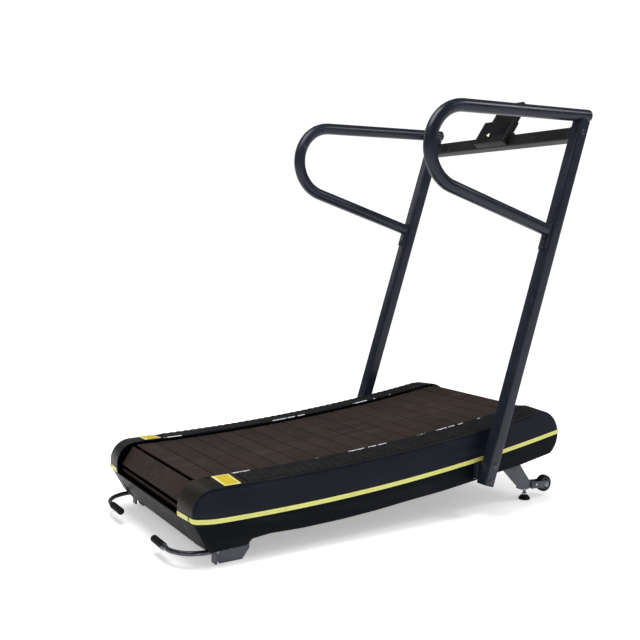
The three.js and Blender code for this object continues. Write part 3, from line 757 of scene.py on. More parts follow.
beams = [f"main_beam_{side}" for side in ("right", "left")]
tubes = [f"cross_tube_{place}" for place in ("rear", "middle", "front")]
blocks = [f"bearing_block_{end}_{side}" for end in ("front", "rear") for side in ("right", "left")]
dress(beams + tubes + blocks, FRAME_PAINT)
dress([f"bearing_rail_{side}" for side in ("right", "left")] + ["one_way_clutch"], TURNED_STEEL, 0.0005)
print("dressed:", len(beams + tubes + blocks) + 3, "CAD nodes")

# %% [markdown]
# ## The belt of slats
# The belt runs along the deck's curve, round the front drum, straight back underneath and up
# round the rear drum. We lay that path out once, as a list of points at the depth where the
# slats pivot, and then step along it by one pitch at a time. Each slat is a stiff bar with a
# rounded rubber skin, so the gaps between slats open on the drums.


# %% The path of the belt
def belt_path(depth, arc_steps, deck_steps):
    """The closed path, from the rear end of the top run forwards."""
    radius = DRUM_REACH - depth
    deck = []
    for y in steps(DECK_REAR_Y, DECK_FRONT_Y, deck_steps):
        angle = deck_slope(y)
        deck.append((y + depth * math.sin(angle), deck_height(y) - depth * math.cos(angle)))
    bottom = AXIS_SLOPE - math.pi / 2
    front = arc(*FRONT_DRUM, radius, math.pi / 2 + deck_slope(DECK_FRONT_Y), bottom, arc_steps)
    rear = arc(*REAR_DRUM, radius, bottom, deck_slope(DECK_REAR_Y) - 1.5 * math.pi, arc_steps)
    return deck + front[1:] + rear[:-1]


def path_length(path):
    return sum(math.dist(a, b) for a, b in zip(path, path[1:] + path[:1]))


def on_path(path, distance):
    """The point and angle at a distance along a closed path."""
    for a, b in zip(path, path[1:] + path[:1]):
        length = math.dist(a, b)
        if distance <= length:
            t = distance / length
            return a[0] + t * (b[0] - a[0]), a[1] + t * (b[1] - a[1]), math.atan2(b[1] - a[1], b[0] - a[0])
        distance -= length
    return on_path(path, distance)


loop = belt_path(PITCH_DEPTH, 48, 90)
PITCH = path_length(loop) / SLAT_COUNT
print("belt length", round(path_length(loop), 4), " slat pitch", round(PITCH, 5))


# %% Slats
def slat_section():
    """End view of a slat, as (along the belt, outwards), with a slightly crowned top."""
    half, crown = (PITCH - SLAT_GAP) / 2, 0.0006
    under, side = PITCH_DEPTH - SLAT_THICK, PITCH_DEPTH - crown
    top = [(half * t, PITCH_DEPTH - crown * t * t) for t in steps(0.93, -0.93, 8)]
    corner = [(-half, side - 0.0028), (-half, under + 0.001), (-half + 0.001, under)]
    right = [(half - 0.001, under), (half, under + 0.001), (half, side - 0.0028)]
    shoulder = (half * 0.985, side - 0.0009)
    return [*right, shoulder, *top, (-shoulder[0], shoulder[1]), *corner]


def slat(distance):
    y, z, angle = on_path(loop, distance % path_length(loop))
    bar = pushed(slat_section(), -SLAT_HALF, SLAT_HALF, 0.0024)
    return moved(bar, Matrix.Translation((0, y, z)) @ Matrix.Rotation(angle, 4, "X"))


slat_forms = [slat(FIRST_SLAT + i * PITCH) for i in range(SLAT_COUNT)]
slats = make("slats", joined(*slat_forms), SLAT_RUBBER, stands_for="slat_belt", crease=40)

tones = slats.data.attributes.new("tone", "FLOAT", "POINT")
per_slat = len(slat_forms[0][0])
for i in range(SLAT_COUNT):
    shade = 0.5 + 0.5 * math.sin(i * 2.4 + 1.1) * math.cos(i * 0.7)
    for k in range(per_slat):
        tones.data[i * per_slat + k].value = shade
print("slats:", SLAT_COUNT, " faces:", len(slats.data.polygons))


# %% [markdown]
# Two toothed belts carry the slats. The teeth face the drums, so the inner line of the path
# steps in and out twice a tooth while the outer line stays smooth.


# %% Toothed side belts
def toothed_belt(x):
    outer_depth, root_depth, tip_depth = BELT_TOP + 0.0006, BELT_TOP + 0.0018, BELT_BOTTOM
    tooth = 0.016
    count = round(path_length(loop) / tooth)
    rings = []
    for i in range(count * 4):
        y, z, angle = on_path(loop, i * path_length(loop) / (count * 4))
        inner = root_depth if i % 4 < 2 else tip_depth
        up = (-math.sin(angle), math.cos(angle))
        ring = []
        for side, depth in ((-1, inner), (1, inner), (1, outer_depth), (-1, outer_depth)):
            rise = PITCH_DEPTH - depth
            ring.append((x + side * 0.015, y + up[0] * rise, z + up[1] * rise))
        rings.append(ring)
    return skin(rings, closed=True)


side_belts = make("toothed_belts", joined(toothed_belt(BELT_X), toothed_belt(-BELT_X)),
                  BLACK_RUBBER, crease=50)
print("toothed belts:", len(side_belts.data.polygons), "faces")

# %% [markdown]
# ## Drums
# The drums are turned steel: a hollow core, a pulley under each toothed belt and a stepped
# shaft. Six bolts in each pulley web show that the drum turns.


# %% Front and rear drums
def drum():
    half = [
        (0.0, 0.025), (0.220, 0.025), (0.226, 0.030), (0.228, 0.034), (0.228, 0.0684), (0.2292, 0.0696),
        (0.2608, 0.0696), (0.262, 0.0684), (0.262, 0.059), (0.2575, 0.057), (0.2565, 0.055),
        (0.2565, 0.024), (0.2585, 0.021), (0.268, 0.0205), (0.269, 0.0195), (0.269, 0.0125),
        (0.3355, 0.0125), (0.337, 0.011)]
    whole = [(-x, r) for x, r in half[:0:-1]] + half
    bolts = []
    for side in (1, -1):
        for k in range(6):
            angle = k * math.pi / 3
            at = (side * 0.2562, 0.040 * math.cos(angle), 0.040 * math.sin(angle))
            bolts.append(socket_bolt(at, (side, 0, 0), 0.0048, 0.003, 0.0008))
    return joined(turned(whole, 64), *bolts)


for name, (y, z) in (("front_drum", FRONT_DRUM), ("rear_drum", REAR_DRUM)):
    turning = make(f"{name}_assembly", shifted(drum(), 0, y, z), TURNED_STEEL, name, name)
    print(turning.name, len(turning.data.polygons), "faces")

# %% [markdown]
# ## Side covers
# Each side cover is a hood over the side frame, split by the yellow trim. The two halves and
# the trim share one silhouette. We make that silhouette solid with its outer edge rolled on
# a large radius, hollow it with a smaller one, and keep what lies above, below or between
# the trim's two edges. Cutting one body into three makes the seams meet exactly.


# %% The silhouette of a side cover
def cover_outline():
    nose_top = math.pi / 2 + deck_slope(NOSE_Y - 0.015)
    nose = arc(NOSE_Y, NOSE_Z, NOSE_R, -0.94, nose_top, 36)
    top = [(y, deck_height(y) + COVER_RISE) for y in steps(0.672, -0.640, 50)]
    heel = arc(HEEL_Y, HEEL_Z, HEEL_R, math.pi / 2, math.pi, 22)
    rear = rounded([(-0.800, 0.166), (-0.748, 0.067), (-0.736, 0.052), (-0.609, 0.055), (-0.585, 0.074),
                    (-0.520, 0.080)], 0.004, 2)[3:-3]
    underside = [(-0.392, 0.077), (-0.229, 0.081), (-0.094, 0.089), (0.041, 0.101), (0.200, 0.113),
                 (0.362, 0.131), (0.481, 0.147), (0.587, 0.159)]
    return [*nose, *top, *heel, (-0.800, 0.166), *rear, (-0.520, 0.080), *underside]


SILHOUETTE = cover_outline()
print("silhouette points:", len(SILHOUETTE), " area m2:", round(area(SILHOUETTE), 4))


# %% The shell and its three parts
BEYOND = 0.9  # further than either end of the machine
LIFT_FADE, SWEEP_Y, SWEEP_FADE = 0.060, -0.640, 0.100


def clamp(value):
    return min(1, max(0, value))


def shaped(form):
    """The rail top falls outwards, and the heel is swept back towards the belt."""
    points = []
    for x, y, z in form[0]:
        inwards = (COVER_OUTER - x) / (COVER_OUTER - COVER_INNER)
        up = clamp((z - strip_height(y) - 2 * STRIP_HALF) / LIFT_FADE)
        back = clamp((SWEEP_Y - y) / SWEEP_FADE)
        points.append((x, y - HEEL_SWEEP * inwards * back, z + COVER_LIFT * inwards * up))
    return points, form[1]


def cover_shell(proud=0.0, wall=COVER_WALL, roll=0.010):
    outer = pushed(inset(SILHOUETTE, -proud), COVER_INNER, COVER_OUTER + proud, 0.002, roll, 6)
    hollow = pushed(inset(SILHOUETTE, wall), COVER_INNER - 0.02, COVER_OUTER - wall, 0.001, roll - wall, 4)
    return carved(shaped(outer), shaped(hollow))


def strip_line(offset):
    return [(y, strip_height(y) + offset) for y in steps(-BEYOND, BEYOND, 60)]


def between(lower, upper):
    """Room for what lies between two lines in side view, right through the cover."""
    return pushed([*lower, *upper[::-1]], COVER_INNER - 0.005, COVER_OUTER + 0.005, 0)


def box(x0, x1, y0, y1, z0, z1, roll=0.0):
    return pushed(rectangle(y0, y1, z0, z1), x0, x1, roll)


SEAM = 0.0003
sky, ground = [(-BEYOND, 0.6), (BEYOND, 0.6)], [(-BEYOND, -0.05), (BEYOND, -0.05)]
shell = cover_shell()
upper_cover = carved(shell, between(strip_line(STRIP_HALF + SEAM), sky), "INTERSECT")
lower_cover = carved(shell, between(ground, strip_line(-STRIP_HALF - SEAM)), "INTERSECT")
for room in (box(COVER_INNER - 0.01, COVER_OUTER - 0.016, -0.725, 0.680, 0, 0.200),
             box(COVER_OUTER - 0.020, COVER_OUTER + 0.010, 0.355, 0.415, 0.141, 0.203),
             box(0.3765, 0.3975, -0.760, -0.700, 0, 0.0605)):
    lower_cover = carved(lower_cover, room)
make_pair("upper_cover", upper_cover, NAVY_SHELL, stands_for="side_cover_upper")
make_pair("lower_cover", lower_cover, BLACK_SHELL, stands_for="side_cover_lower")
print("upper cover faces:", len(upper_cover[1]), " lower cover faces:", len(lower_cover[1]))

# %% [markdown]
# The trim is the same shell a little proud, kept only between the two seam lines. A shallow
# groove runs along its middle. At the back of the heel it is jointed: a short end piece
# closes the corner, with a small break before it.

# %% Yellow trim
JOINT_X, JOINT_GAP, TRIM_END_X = 0.385, 0.011, 0.306
TRIM_BACK, TRIM_HALF = 0.0014, STRIP_HALF - 0.0008
GROOVE_HALF, GROOVE_DEPTH = 0.0007, 0.0007
HEEL_BACK = -0.770


def along_strip(form, half):
    """What lies within half a width of the strip's middle line."""
    return carved(form, between(strip_line(-half), strip_line(half)), "INTERSECT")


band = along_strip(cover_shell(STRIP_PROUD, TRIM_BACK), TRIM_HALF)
round_it = pushed(inset(SILHOUETTE, -0.004), COVER_INNER - 0.01, COVER_OUTER + 0.004, 0.001)
to_root = pushed(inset(SILHOUETTE, -GROOVE_DEPTH), COVER_INNER - 0.02, COVER_OUTER + GROOVE_DEPTH,
                 0, 0.009, 6)
groove = along_strip(carved(shaped(round_it), shaped(to_root)), GROOVE_HALF)
joint = box(JOINT_X - JOINT_GAP / 2, JOINT_X + JOINT_GAP / 2, -BEYOND, HEEL_BACK, 0, 0.4)
corner = box(COVER_INNER - 0.01, TRIM_END_X, -BEYOND, HEEL_BACK, 0, 0.4)
for room in (groove, joint, corner):
    band = carved(band, room)
make_pair("trim", band, TRIM, stands_for="trim_strip")
backing = along_strip(cover_shell(-TRIM_BACK - 0.0002), STRIP_HALF)
make_pair("trim_backing", backing, BLACK_SHELL)
print("trim faces:", len(band[1]))


# %% [markdown]
# ## Rail tops
# A ribbed rubber pad covers each rail top, so a runner can stand beside the moving belt. Its
# ribs run across the rail. The pad is skinned from one end to the other, and the thickness of
# each ring makes the ribs. A thin lip with painted highlights edges the belt, and a yellow
# label marks where the belt runs out at the back.


# %% Ribbed step pads
RIB_PITCH = 0.031
PAD_X0, PAD_X1, PAD_Y0, PAD_Y1 = 0.310, 0.402, -0.600, 0.675
RAIL_SKIN = COVER_RISE + 0.00045
RIB_PROFILE = [(0.00, 0.0010), (0.26, 0.0010), (0.30, 0.0016), (0.36, 0.0023), (0.46, 0.0025),
               (0.80, 0.0025), (0.90, 0.0023), (0.96, 0.0016)]


def step_pad():
    count = int((PAD_Y1 - PAD_Y0) / RIB_PITCH)
    start = PAD_Y0 + (PAD_Y1 - PAD_Y0 - count * RIB_PITCH) / 2
    stations = [(PAD_Y0, 0.0006), (PAD_Y0 + 0.001, 0.0016)]
    stations += [(start + (i + t) * RIB_PITCH, thick) for i in range(count) for t, thick in RIB_PROFILE]
    stations += [(PAD_Y1 - 0.001, 0.0016), (PAD_Y1, 0.0006)]
    rings = []
    for y, thick in stations:
        z = deck_height(y) + RAIL_SKIN
        side = [(0.0, 0.0), (0.0, thick * 0.6), (0.0006, thick * 0.9), (0.0016, thick)]
        ring = [(PAD_X0 + dx, y, z + dz) for dx, dz in side]
        ring += [(PAD_X1 - dx, y, z + dz) for dx, dz in side[::-1]]
        rings.append(ring)
    return shaped(skin(rings))


pad = step_pad()
make_pair("ribbed_pad", pad, STEP_RUBBER, stands_for="step_pad", crease=50)
print("ribbed pads:", len(pad[1]), "faces each")


# %% Lip and label
def belt_lip():
    half_width, low, high = 0.0026, 0.0022, 0.0052
    rings = []
    for y in steps(-0.705, 0.690, 60):
        z = deck_height(y)
        shape = arc(COVER_INNER + 0.0004 + half_width, z + low, half_width, 0, math.pi, 8)
        ring = [(x, y, z + low + (h - z - low) * (high - low) / half_width) for x, h in shape]
        rings.append(ring)
    return shaped(skin(rings))


def label():
    outline = panel(LABEL_X - LABEL_HALF_X, LABEL_X + LABEL_HALF_X,
                    LABEL_Y - LABEL_HALF_Y, LABEL_Y + LABEL_HALF_Y, 0.004)
    rings = []
    for rise, draw in ((0, 0), (0.0006, 0), (0.0008, 0.0003)):
        rings.append([(x, y, deck_height(y) + RAIL_SKIN + rise) for x, y in inset(outline, draw)])
    return shaped(skin(rings))


make_pair("belt_edge_lip", belt_lip(), LIP)
make_pair("label", label(), FILM, stands_for="caution_label")
print("lip and label made")


# %% [markdown]
# ## Lower covers between the sides
# Two thin sheets close the machine under the belt: a bent one at the back, and a rolled one
# round the lower part of the front drum. Each is an outline with a real bend radius.


# %% Rear and front lower covers
def sheet_of(middle_line, thickness):
    """A closed outline of a bent sheet, from the line through its middle."""
    sides = ([], [])
    for i, here in enumerate(middle_line):
        before = Vector(middle_line[max(i - 1, 0)])
        after = Vector(middle_line[min(i + 1, len(middle_line) - 1)])
        along = (after - before).normalized()
        for side, sign in zip(sides, (1, -1)):
            offset = sign * thickness / 2
            side.append((here[0] - along.y * offset, here[1] + along.x * offset))
    return sides[0] + sides[1][::-1]


INSIDE = COVER_INNER - SEAM
bend = rounded([(-0.8066, 0.1625), (-0.745, 0.0556), (-0.600, 0.0585)], 0.006, 6)[7:14]
rear_line = [(-0.8066, 0.1625), (-0.790, 0.1337), (-0.768, 0.0955), *bend, (-0.680, 0.0569), (-0.600, 0.0585)]
rear_sheet = pushed(sheet_of(rear_line, 0.0026), -INSIDE, INSIDE, 0.0006)
rear_hem = shifted(turned([(-INSIDE + 0.001, 0.003), (INSIDE - 0.001, 0.003)], 16), 0, -0.8050, 0.1605)
rear_ribs = [box(x - 0.0015, x + 0.0015, -0.738, -0.620, 0.058, 0.065, 0.0005) for x in (-0.16, 0, 0.16)]
make("rear_belly_sheet", joined(rear_sheet, rear_hem, *rear_ribs), BLACK_SHELL,
     stands_for="rear_lower_cover")

front_line = arc(*FRONT_DRUM, 0.0975, -1.25, -0.1, 24)
front_sheet = pushed(sheet_of(front_line, 0.0026), -INSIDE, INSIDE, 0.0006)
make("front_belly_sheet", front_sheet, BLACK_SHELL, stands_for="front_lower_cover")
print("lower sheets made")


# %% [markdown]
# ## Uprights
# Each upright is a square tube with rounded corners that leans forwards. Its top is coped,
# cut to a saddle, so that the round handrail lies in it and can be welded all round. The
# bottom end is closed by a plastic plug with a lip.


# %% Square tube and its ends
def rounded_square(half, corner, count=6):
    middle = half - corner
    outline = []
    for i, (a, b) in enumerate([(1, 1), (-1, 1), (-1, -1), (1, -1)]):
        outline += arc(a * middle, b * middle, corner, i * math.pi / 2, (i + 1) * math.pi / 2, count)
    return outline


def square_tube(length):
    """A tube along +Z, with its ends softened."""
    soft = 0.0006
    end = [(soft, POST_WALL), (0, POST_WALL - soft), (0, soft), (soft, 0)]
    levels = end + [(length - z, draw) for z, draw in end[::-1]]
    return skin([[(a, b, z) for a, b in rounded_square(POST_HALF - draw, POST_CORNER - draw)]
                 for z, draw in levels], closed=True)


def on_upright(form):
    place = Matrix.Translation((POST_X, *POST_FOOT)) @ Matrix.Rotation(-LEAN, 4, "X")
    return moved(form, place)


def upright_point(along, across=0.0):
    """The side-view place at a height up an upright and a distance in front of its axis."""
    return (POST_FOOT[0] + along * math.sin(LEAN) + across * math.cos(LEAN),
            POST_FOOT[1] + along * math.cos(LEAN) - across * math.sin(LEAN))


saddle = turned([(-0.15, RAIL_R + 0.0004), (0.15, RAIL_R + 0.0004)], 48)
saddle = moved(saddle, Matrix.Translation((POST_X, 0.820, RAIL_Z)) @ Matrix.Rotation(math.pi / 2, 4, "Z"))
above_rail = box(POST_X - 0.04, POST_X + 0.04, 0.70, 0.95, RAIL_Z, RAIL_Z + 0.06)
upright = carved(carved(on_upright(square_tube(POST_LENGTH)), saddle), above_rail)
make_pair("upright_tube", upright, POWDER_COAT, stands_for="upright")

plug_rings = [(-0.0035, 0.0016), (-0.0032, 0.0004), (-0.0005, 0.0), (-0.0002, 0.0002),
              (-0.0002, 0.0034), (0.02, 0.0036)]
end_plug = skin([[(a, b, z) for a, b in rounded_square(POST_HALF - d, POST_CORNER - min(d, 0.004))]
                 for z, d in plug_rings])
make_pair("upright_end_plug", on_upright(end_plug), BLACK_RUBBER)
print("uprights lean", round(math.degrees(LEAN), 2), "degrees")


# %% [markdown]
# ## Handrails
# A handrail is one round tube with one large bend. The lower arm runs down to a plate that
# is bolted to the back of the upright. Stations along the bend every few degrees keep it
# smooth, while the straight runs need none in between.


# %% Handrail, flange and plug
def arm_end():
    start_y = BEND_Y - RAIL_BEND * math.sin(ARM_SLOPE)
    start_z = BEND_Z - RAIL_BEND * math.cos(ARM_SLOPE)
    rear_face = POST_FOOT[0] + (1.088 - POST_FOOT[1]) * math.tan(LEAN) - POST_HALF / math.cos(LEAN)
    reach = (rear_face - 0.006 / math.cos(LEAN) - 0.002 - start_y) / math.cos(ARM_SLOPE)
    return start_y + reach * math.cos(ARM_SLOPE), start_z - reach * math.sin(ARM_SLOPE)


def rail_station(y, z, angle):
    return Vector((POST_X, y, z)), Vector((0, math.cos(angle), math.sin(angle)))


ARM_Y, ARM_Z = arm_end()
down_arm = math.pi - ARM_SLOPE
stations = [rail_station(ARM_Y + 0.004, ARM_Z - 0.0012, down_arm)]
for angle in steps(1.5 * math.pi - ARM_SLOPE, math.pi / 2, 56):
    stations.append(rail_station(BEND_Y + RAIL_BEND * math.cos(angle), BEND_Z + RAIL_BEND * math.sin(angle),
                                 angle - math.pi / 2))
stations.append(rail_station(RAIL_END_Y, RAIL_Z, 0))
rail = swept(stations, RAIL_R, Vector((1, 0, 0)), 40)
make_pair("handrail_tube", rail, POWDER_COAT, stands_for="handrail", crease=50)

plug = turned([(0.0, 0.0225), (0.0003, 0.0235), (0.0016, 0.0237), (0.0040, 0.0222), (0.0066, 0.0192),
               (0.0085, 0.0155), (0.0096, 0.0105), (0.0100, 0.0040)], 40)
plug = facing(plug, (POST_X, RAIL_END_Y + 0.0003, RAIL_Z), (0, 1, 0))
make_pair("rail_end_plug", plug, BLACK_RUBBER, stands_for="handrail_plug")

FLANGE_ALONG = (ARM_Z - 0.009 - POST_FOOT[1]) / math.cos(LEAN)
flange = stood_up(pushed(panel(-0.020, 0.020, -0.0313, -0.0253, 0.001, 2),
                         FLANGE_ALONG - 0.079, FLANGE_ALONG + 0.026, 0.0015))
flange_bolts = []
for along in (FLANGE_ALONG - 0.066, FLANGE_ALONG - 0.042):
    y, z = upright_point(along, -0.0313)
    flange_bolts.append(socket_bolt((POST_X, y, z), (0, -math.cos(LEAN), math.sin(LEAN)), 0.005, 0.0028))
make_pair("flange_plate", on_upright(flange), POWDER_COAT, stands_for="handrail_flange")
make_pair("flange_bolts", joined(*flange_bolts), ROD)
print("arm meets the flange at", round(ARM_Y, 3), round(ARM_Z, 3))


# %% [markdown]
# Welds are small, but they tell the eye that two tubes are one frame. A weld is a bead: a
# ring with a lumpy section that follows the joint line.


# %% Welds
def bead(line, radius, lumps=3):
    """A closed bead along a line of points, its thickness rising and falling as it was laid."""
    rings = []
    for i, here in enumerate(line):
        along = (Vector(line[(i + 1) % len(line)]) - Vector(line[i - 1])).normalized()
        side = along.orthogonal().normalized()
        up = along.cross(side)
        size = radius * (1 + 0.12 * math.sin(i * 2 * math.pi / lumps))
        rings.append([Vector(here) + size * (math.cos(a) * side + math.sin(a) * up)
                      for a in (k * math.pi / 4 for k in range(8))])
    return skin(rings, closed=True)


cross_y, cross_z = upright_point(CROSSBAR_ALONG)
square_line = [(POST_X - POST_HALF - 0.0003, a, b) for a, b in rounded_square(POST_HALF, POST_CORNER, 8)]
crossbar_place = Matrix.Translation((0, cross_y, cross_z)) @ Matrix.Rotation(-LEAN, 4, "X")
make_pair("crossbar_weld", moved(bead(square_line, 0.0022), crossbar_place), POWDER_COAT)

arm_line = []
for k in range(40):
    angle = k * math.pi / 20
    height = RAIL_R * math.sin(angle)
    slide = height * math.tan(LEAN - ARM_SLOPE)
    arm_line.append((POST_X + RAIL_R * math.cos(angle),
                     ARM_Y + 0.001 + height * math.sin(ARM_SLOPE) + slide * math.cos(ARM_SLOPE),
                     ARM_Z + height * math.cos(ARM_SLOPE) - slide * math.sin(ARM_SLOPE)))
make_pair("arm_weld", bead(arm_line, 0.0022), POWDER_COAT)
print("welds made")

# %% [markdown]
# ## Crossbar and console
# The crossbar is the same square tube laid between the uprights. The console sits on it,
# tilted to face the runner: a shallow housing with a display window and one round key, and a
# taller backrest behind it.

# %% Crossbar
bar_half = POST_X - POST_HALF - 0.0003
crossbar = moved(square_tube(2 * bar_half), Matrix.Translation((0, 0, -bar_half)))
crossbar = moved(crossbar, crossbar_place @ Matrix.Rotation(math.pi / 2, 4, "Y"))
make("crossbar_tube", crossbar, FRAME_PAINT, stands_for="crossbar")

clamp_plate = stood_up(pushed(panel(-0.060, 0.060, 0.0253, 0.0293, 0.0008, 2), -0.010, 0.0553, 0.001))
clamp_bolts = []
for x in (-0.042, 0.042):
    for along in (CROSSBAR_ALONG + 0.002, CROSSBAR_ALONG + 0.042):
        y, z = upright_point(along, 0.0293)
        clamp_bolts.append(socket_bolt((x, y, z), (0, math.cos(LEAN), -math.sin(LEAN)), 0.006, 0.004))
make("console_clamp", moved(clamp_plate, crossbar_place), FRAME_PAINT, stands_for="console_bracket")
make("console_clamp_bolts", joined(*clamp_bolts), ZINC)
print("crossbar at", round(cross_y, 3), round(cross_z, 3))

# %% Console housing and backrest
CONSOLE = Matrix.Translation((0, 0.755, 1.462)) @ Matrix.Rotation(math.radians(55), 4, "X")
HOUSING_HALF, HOUSING_HEIGHT, HOUSING_DEPTH = 0.095, 0.118, 0.032
WINDOW = (0.004, 0.082, 0.034, 0.100)
KEY, KEY_R = (-0.018, 0.038), 0.016


def plate_up(outline, z0, z1, roll=0.001, far_roll=None, count=3):
    """An outline in x and y made solid from z0 to z1."""
    return stood_up(pushed(outline, z0, z1, roll, far_roll, count))


def window_line(grow, radius):
    """The window's outline, grown on every side."""
    x0, x1, y0, y1 = WINDOW
    return panel(x0 - grow, x1 + grow, y0 - grow, y1 + grow, radius)


housing = plate_up(panel(-HOUSING_HALF, HOUSING_HALF, 0, HOUSING_HEIGHT, 0.007, 5),
                   -HOUSING_DEPTH, 0, 0.003, 0.004, 5)
housing = carved(housing, plate_up(window_line(0.0006, 0.004), -0.003, 0.01, 0.0002))
key_well = stood_up(turned([(-0.0078, KEY_R + 0.001), (0.01, KEY_R + 0.001)], 48))
housing = carved(housing, shifted(key_well, *KEY))
beside_bar = POST_HALF + 0.0004
room = box(-0.2, 0.2, -beside_bar, beside_bar, -beside_bar, beside_bar)
housing = carved(moved(housing, CONSOLE), moved(room, crossbar_place))
make("console_shell", housing, CONSOLE_SHELL, stands_for="console_housing")

slab_outline = rounded([(-0.080, 0.1183), (0.080, 0.1183), (0.080, 0.208), (0.060, 0.230), (-0.060, 0.230),
                        (-0.080, 0.208)], 0.014, 6)
slab = plate_up(slab_outline, -0.036, -0.020, 0.004, 0.004, 5)
make("console_slab", moved(slab, CONSOLE), CONSOLE_SHELL, stands_for="console_backrest")
back_screws = [socket_bolt((x, y, -0.036), (0, 0, -1), 0.0035, 0.002, 0.0005)
               for x in (-0.06, 0.06) for y in (0.135, 0.205)]
make("console_screws", moved(joined(*back_screws), CONSOLE), ZINC)
print("console housing faces:", len(housing[1]))


# %% [markdown]
# The display window sits in its well with a thin bezel. The key is a shallow dome that
# presses into the face, with a pale triangle printed on it, so both ride on the key's body.

# %% Display and key
glass = plate_up(window_line(0, 0.0036), -0.0027, -0.0006, 0.0002, 0.0005)
make("display_window", moved(glass, CONSOLE), SMOKED, stands_for="console_display")

bezel_out, bezel_in = window_line(0.004, 0.006), window_line(-0.0004, 0.0036)
bezel_rings = [[(x, y, z) for x, y in line] for line, z in (
    (inset(bezel_out, 0.0003), -0.0003), (bezel_out, 0.0004), (inset(bezel_out, 0.0006), 0.0010),
    (inset(bezel_in, -0.0006), 0.0010), (bezel_in, 0.0004), (bezel_in, -0.0003))]
make("display_bezel", moved(skin(bezel_rings, closed=True), CONSOLE), CONSOLE_SHELL)

dome = [(-0.005, 0.0150), (-0.0046, 0.0158), (0.0006, 0.0160), (0.0015, 0.0155), (0.0021, 0.0142),
        (0.0024, 0.0100), (0.0025, 0.0030)]
cap = shifted(stood_up(turned(dome, 48)), *KEY)
make("key_cap", moved(cap, CONSOLE), BLACK_RUBBER, "console_key", "console_key")
triangle = rounded([(-0.0105, 0.0010), (0.0085, -0.0105), (0.0030, 0.0105)], 0.0012, 3)
mark = plate_up(triangle, 0.0020, 0.0028, 0.0002)
make("key_mark", moved(shifted(mark, *KEY), CONSOLE), KEY_PRINT, "console_key")
print("display and key made")

# %% [markdown]
# ## Brackets
# The steel that ties the side frame to the floor and to the uprights is cut plate with
# rounded corners. The plates keep the CAD's outlines. Bolts hold the uprights to their
# brackets, with their heads on the outside.

# %% Upright brackets and bolts
hang_from = REAR_DRUM[1] + math.tan(AXIS_SLOPE) * (0.385 - REAR_DRUM[0]) + 0.005
arm = pushed(panel(0.356, 0.414, 0.142, 0.202, 0.006), 0.3443, 0.4337, 0.001)
cheek = pushed(panel(0.356, 0.414, 0.142, hang_from, 0.006), 0.3403, 0.3483, 0.001)
make_pair("upright_carrier", joined(arm, cheek), POWDER_COAT, stands_for="upright_bracket")

upright_bolts = []
for y, z, radius in ((0.401, 0.203, 0.0085), (0.378, 0.147, 0.006)):
    upright_bolts.append(socket_bolt((POST_X + POST_HALF, y, z), (1, 0, 0), radius, 0.0033, 0.001))
upright_bolts.append(socket_bolt((POST_X + POST_HALF, cross_y + 0.002, cross_z + 0.008), (1, 0, 0),
                                 0.0078, 0.0032, 0.0008))
make_pair("upright_bolts", joined(*upright_bolts), ROD)
print("upright brackets made")

# %% Foot brackets
FOOT = (0.358, 0.672)
FRONT_FACE, REAR_FACE, PLATE = 0.3715, 0.372, 0.005
front_plate = pushed(rounded([(0.627, 0.051), (0.682, 0.044), (0.686, 0.074), (0.612, 0.175), (0.600, 0.250),
                              (0.500, 0.250), (0.520, 0.160)], 0.008), FRONT_FACE, FRONT_FACE + PLATE, 0.0008)
front_web = box(0.3403, 0.3725, 0.515, 0.585, 0.230, 0.248, 0.001)
front_sole = plate_up(panel(0.341, 0.3725, 0.640, 0.683, 0.004), 0.046, 0.051, 0.0006)
stud_hole = stood_up(turned([(0.03, 0.007), (0.06, 0.007)], 24))
front_sole = carved(front_sole, shifted(stud_hole, *FOOT))
make_pair("front_foot_plate", joined(front_plate, front_web, front_sole), BRACKET_PAINT,
          stands_for="front_foot_bracket")

rear_plate = pushed(rounded([(-0.694, 0.0), (-0.610, 0.0), (-0.583, 0.034), (-0.575, 0.165), (-0.700, 0.165),
                             (-0.711, 0.070), (-0.711, 0.034)], 0.006), REAR_FACE, REAR_FACE + PLATE, 0.0008)
rear_sole = plate_up(panel(0.345, 0.373, -0.692, -0.612, 0.004), 0, 0.005, 0.0006)
rear_web = box(0.3403, 0.373, -0.660, -0.580, 0.145, 0.163, 0.001)
rod_tab = pushed(panel(-0.716, -0.709, 0.006, 0.072, 0.001, 2), 0.364, 0.396, 0.001)
rear_steel = joined(rear_plate, rear_sole, rear_web, rod_tab)
make_pair("rear_foot_plate", rear_steel, BRACKET_PAINT, stands_for="rear_foot_bracket")
rear_bolts = [hex_nut((REAR_FACE + PLATE, -0.655, 0.050), (1, 0, 0), 0.0075, 0.005),
              hex_nut((0.387, -0.709, 0.050), (0, 1, 0), 0.011, 0.007)]
make_pair("rear_foot_nuts", joined(*rear_bolts), ZINC)
print("foot brackets made")


# %% [markdown]
# ## Levelling feet
# A levelling foot is a cone on a threaded stud. The thread is real geometry: rings at the
# root and the crest of each turn. The pad and stud belong to the foot's own body and slide
# together, while the lock nuts stay on the bracket.


# %% Levelling feet
def threaded(z0, z1, crest, root, thread):
    rings = []
    z, high = z0, True
    while z <= z1:
        rings.append((z, crest if high else root))
        z, high = z + thread / 2, not high
    return rings


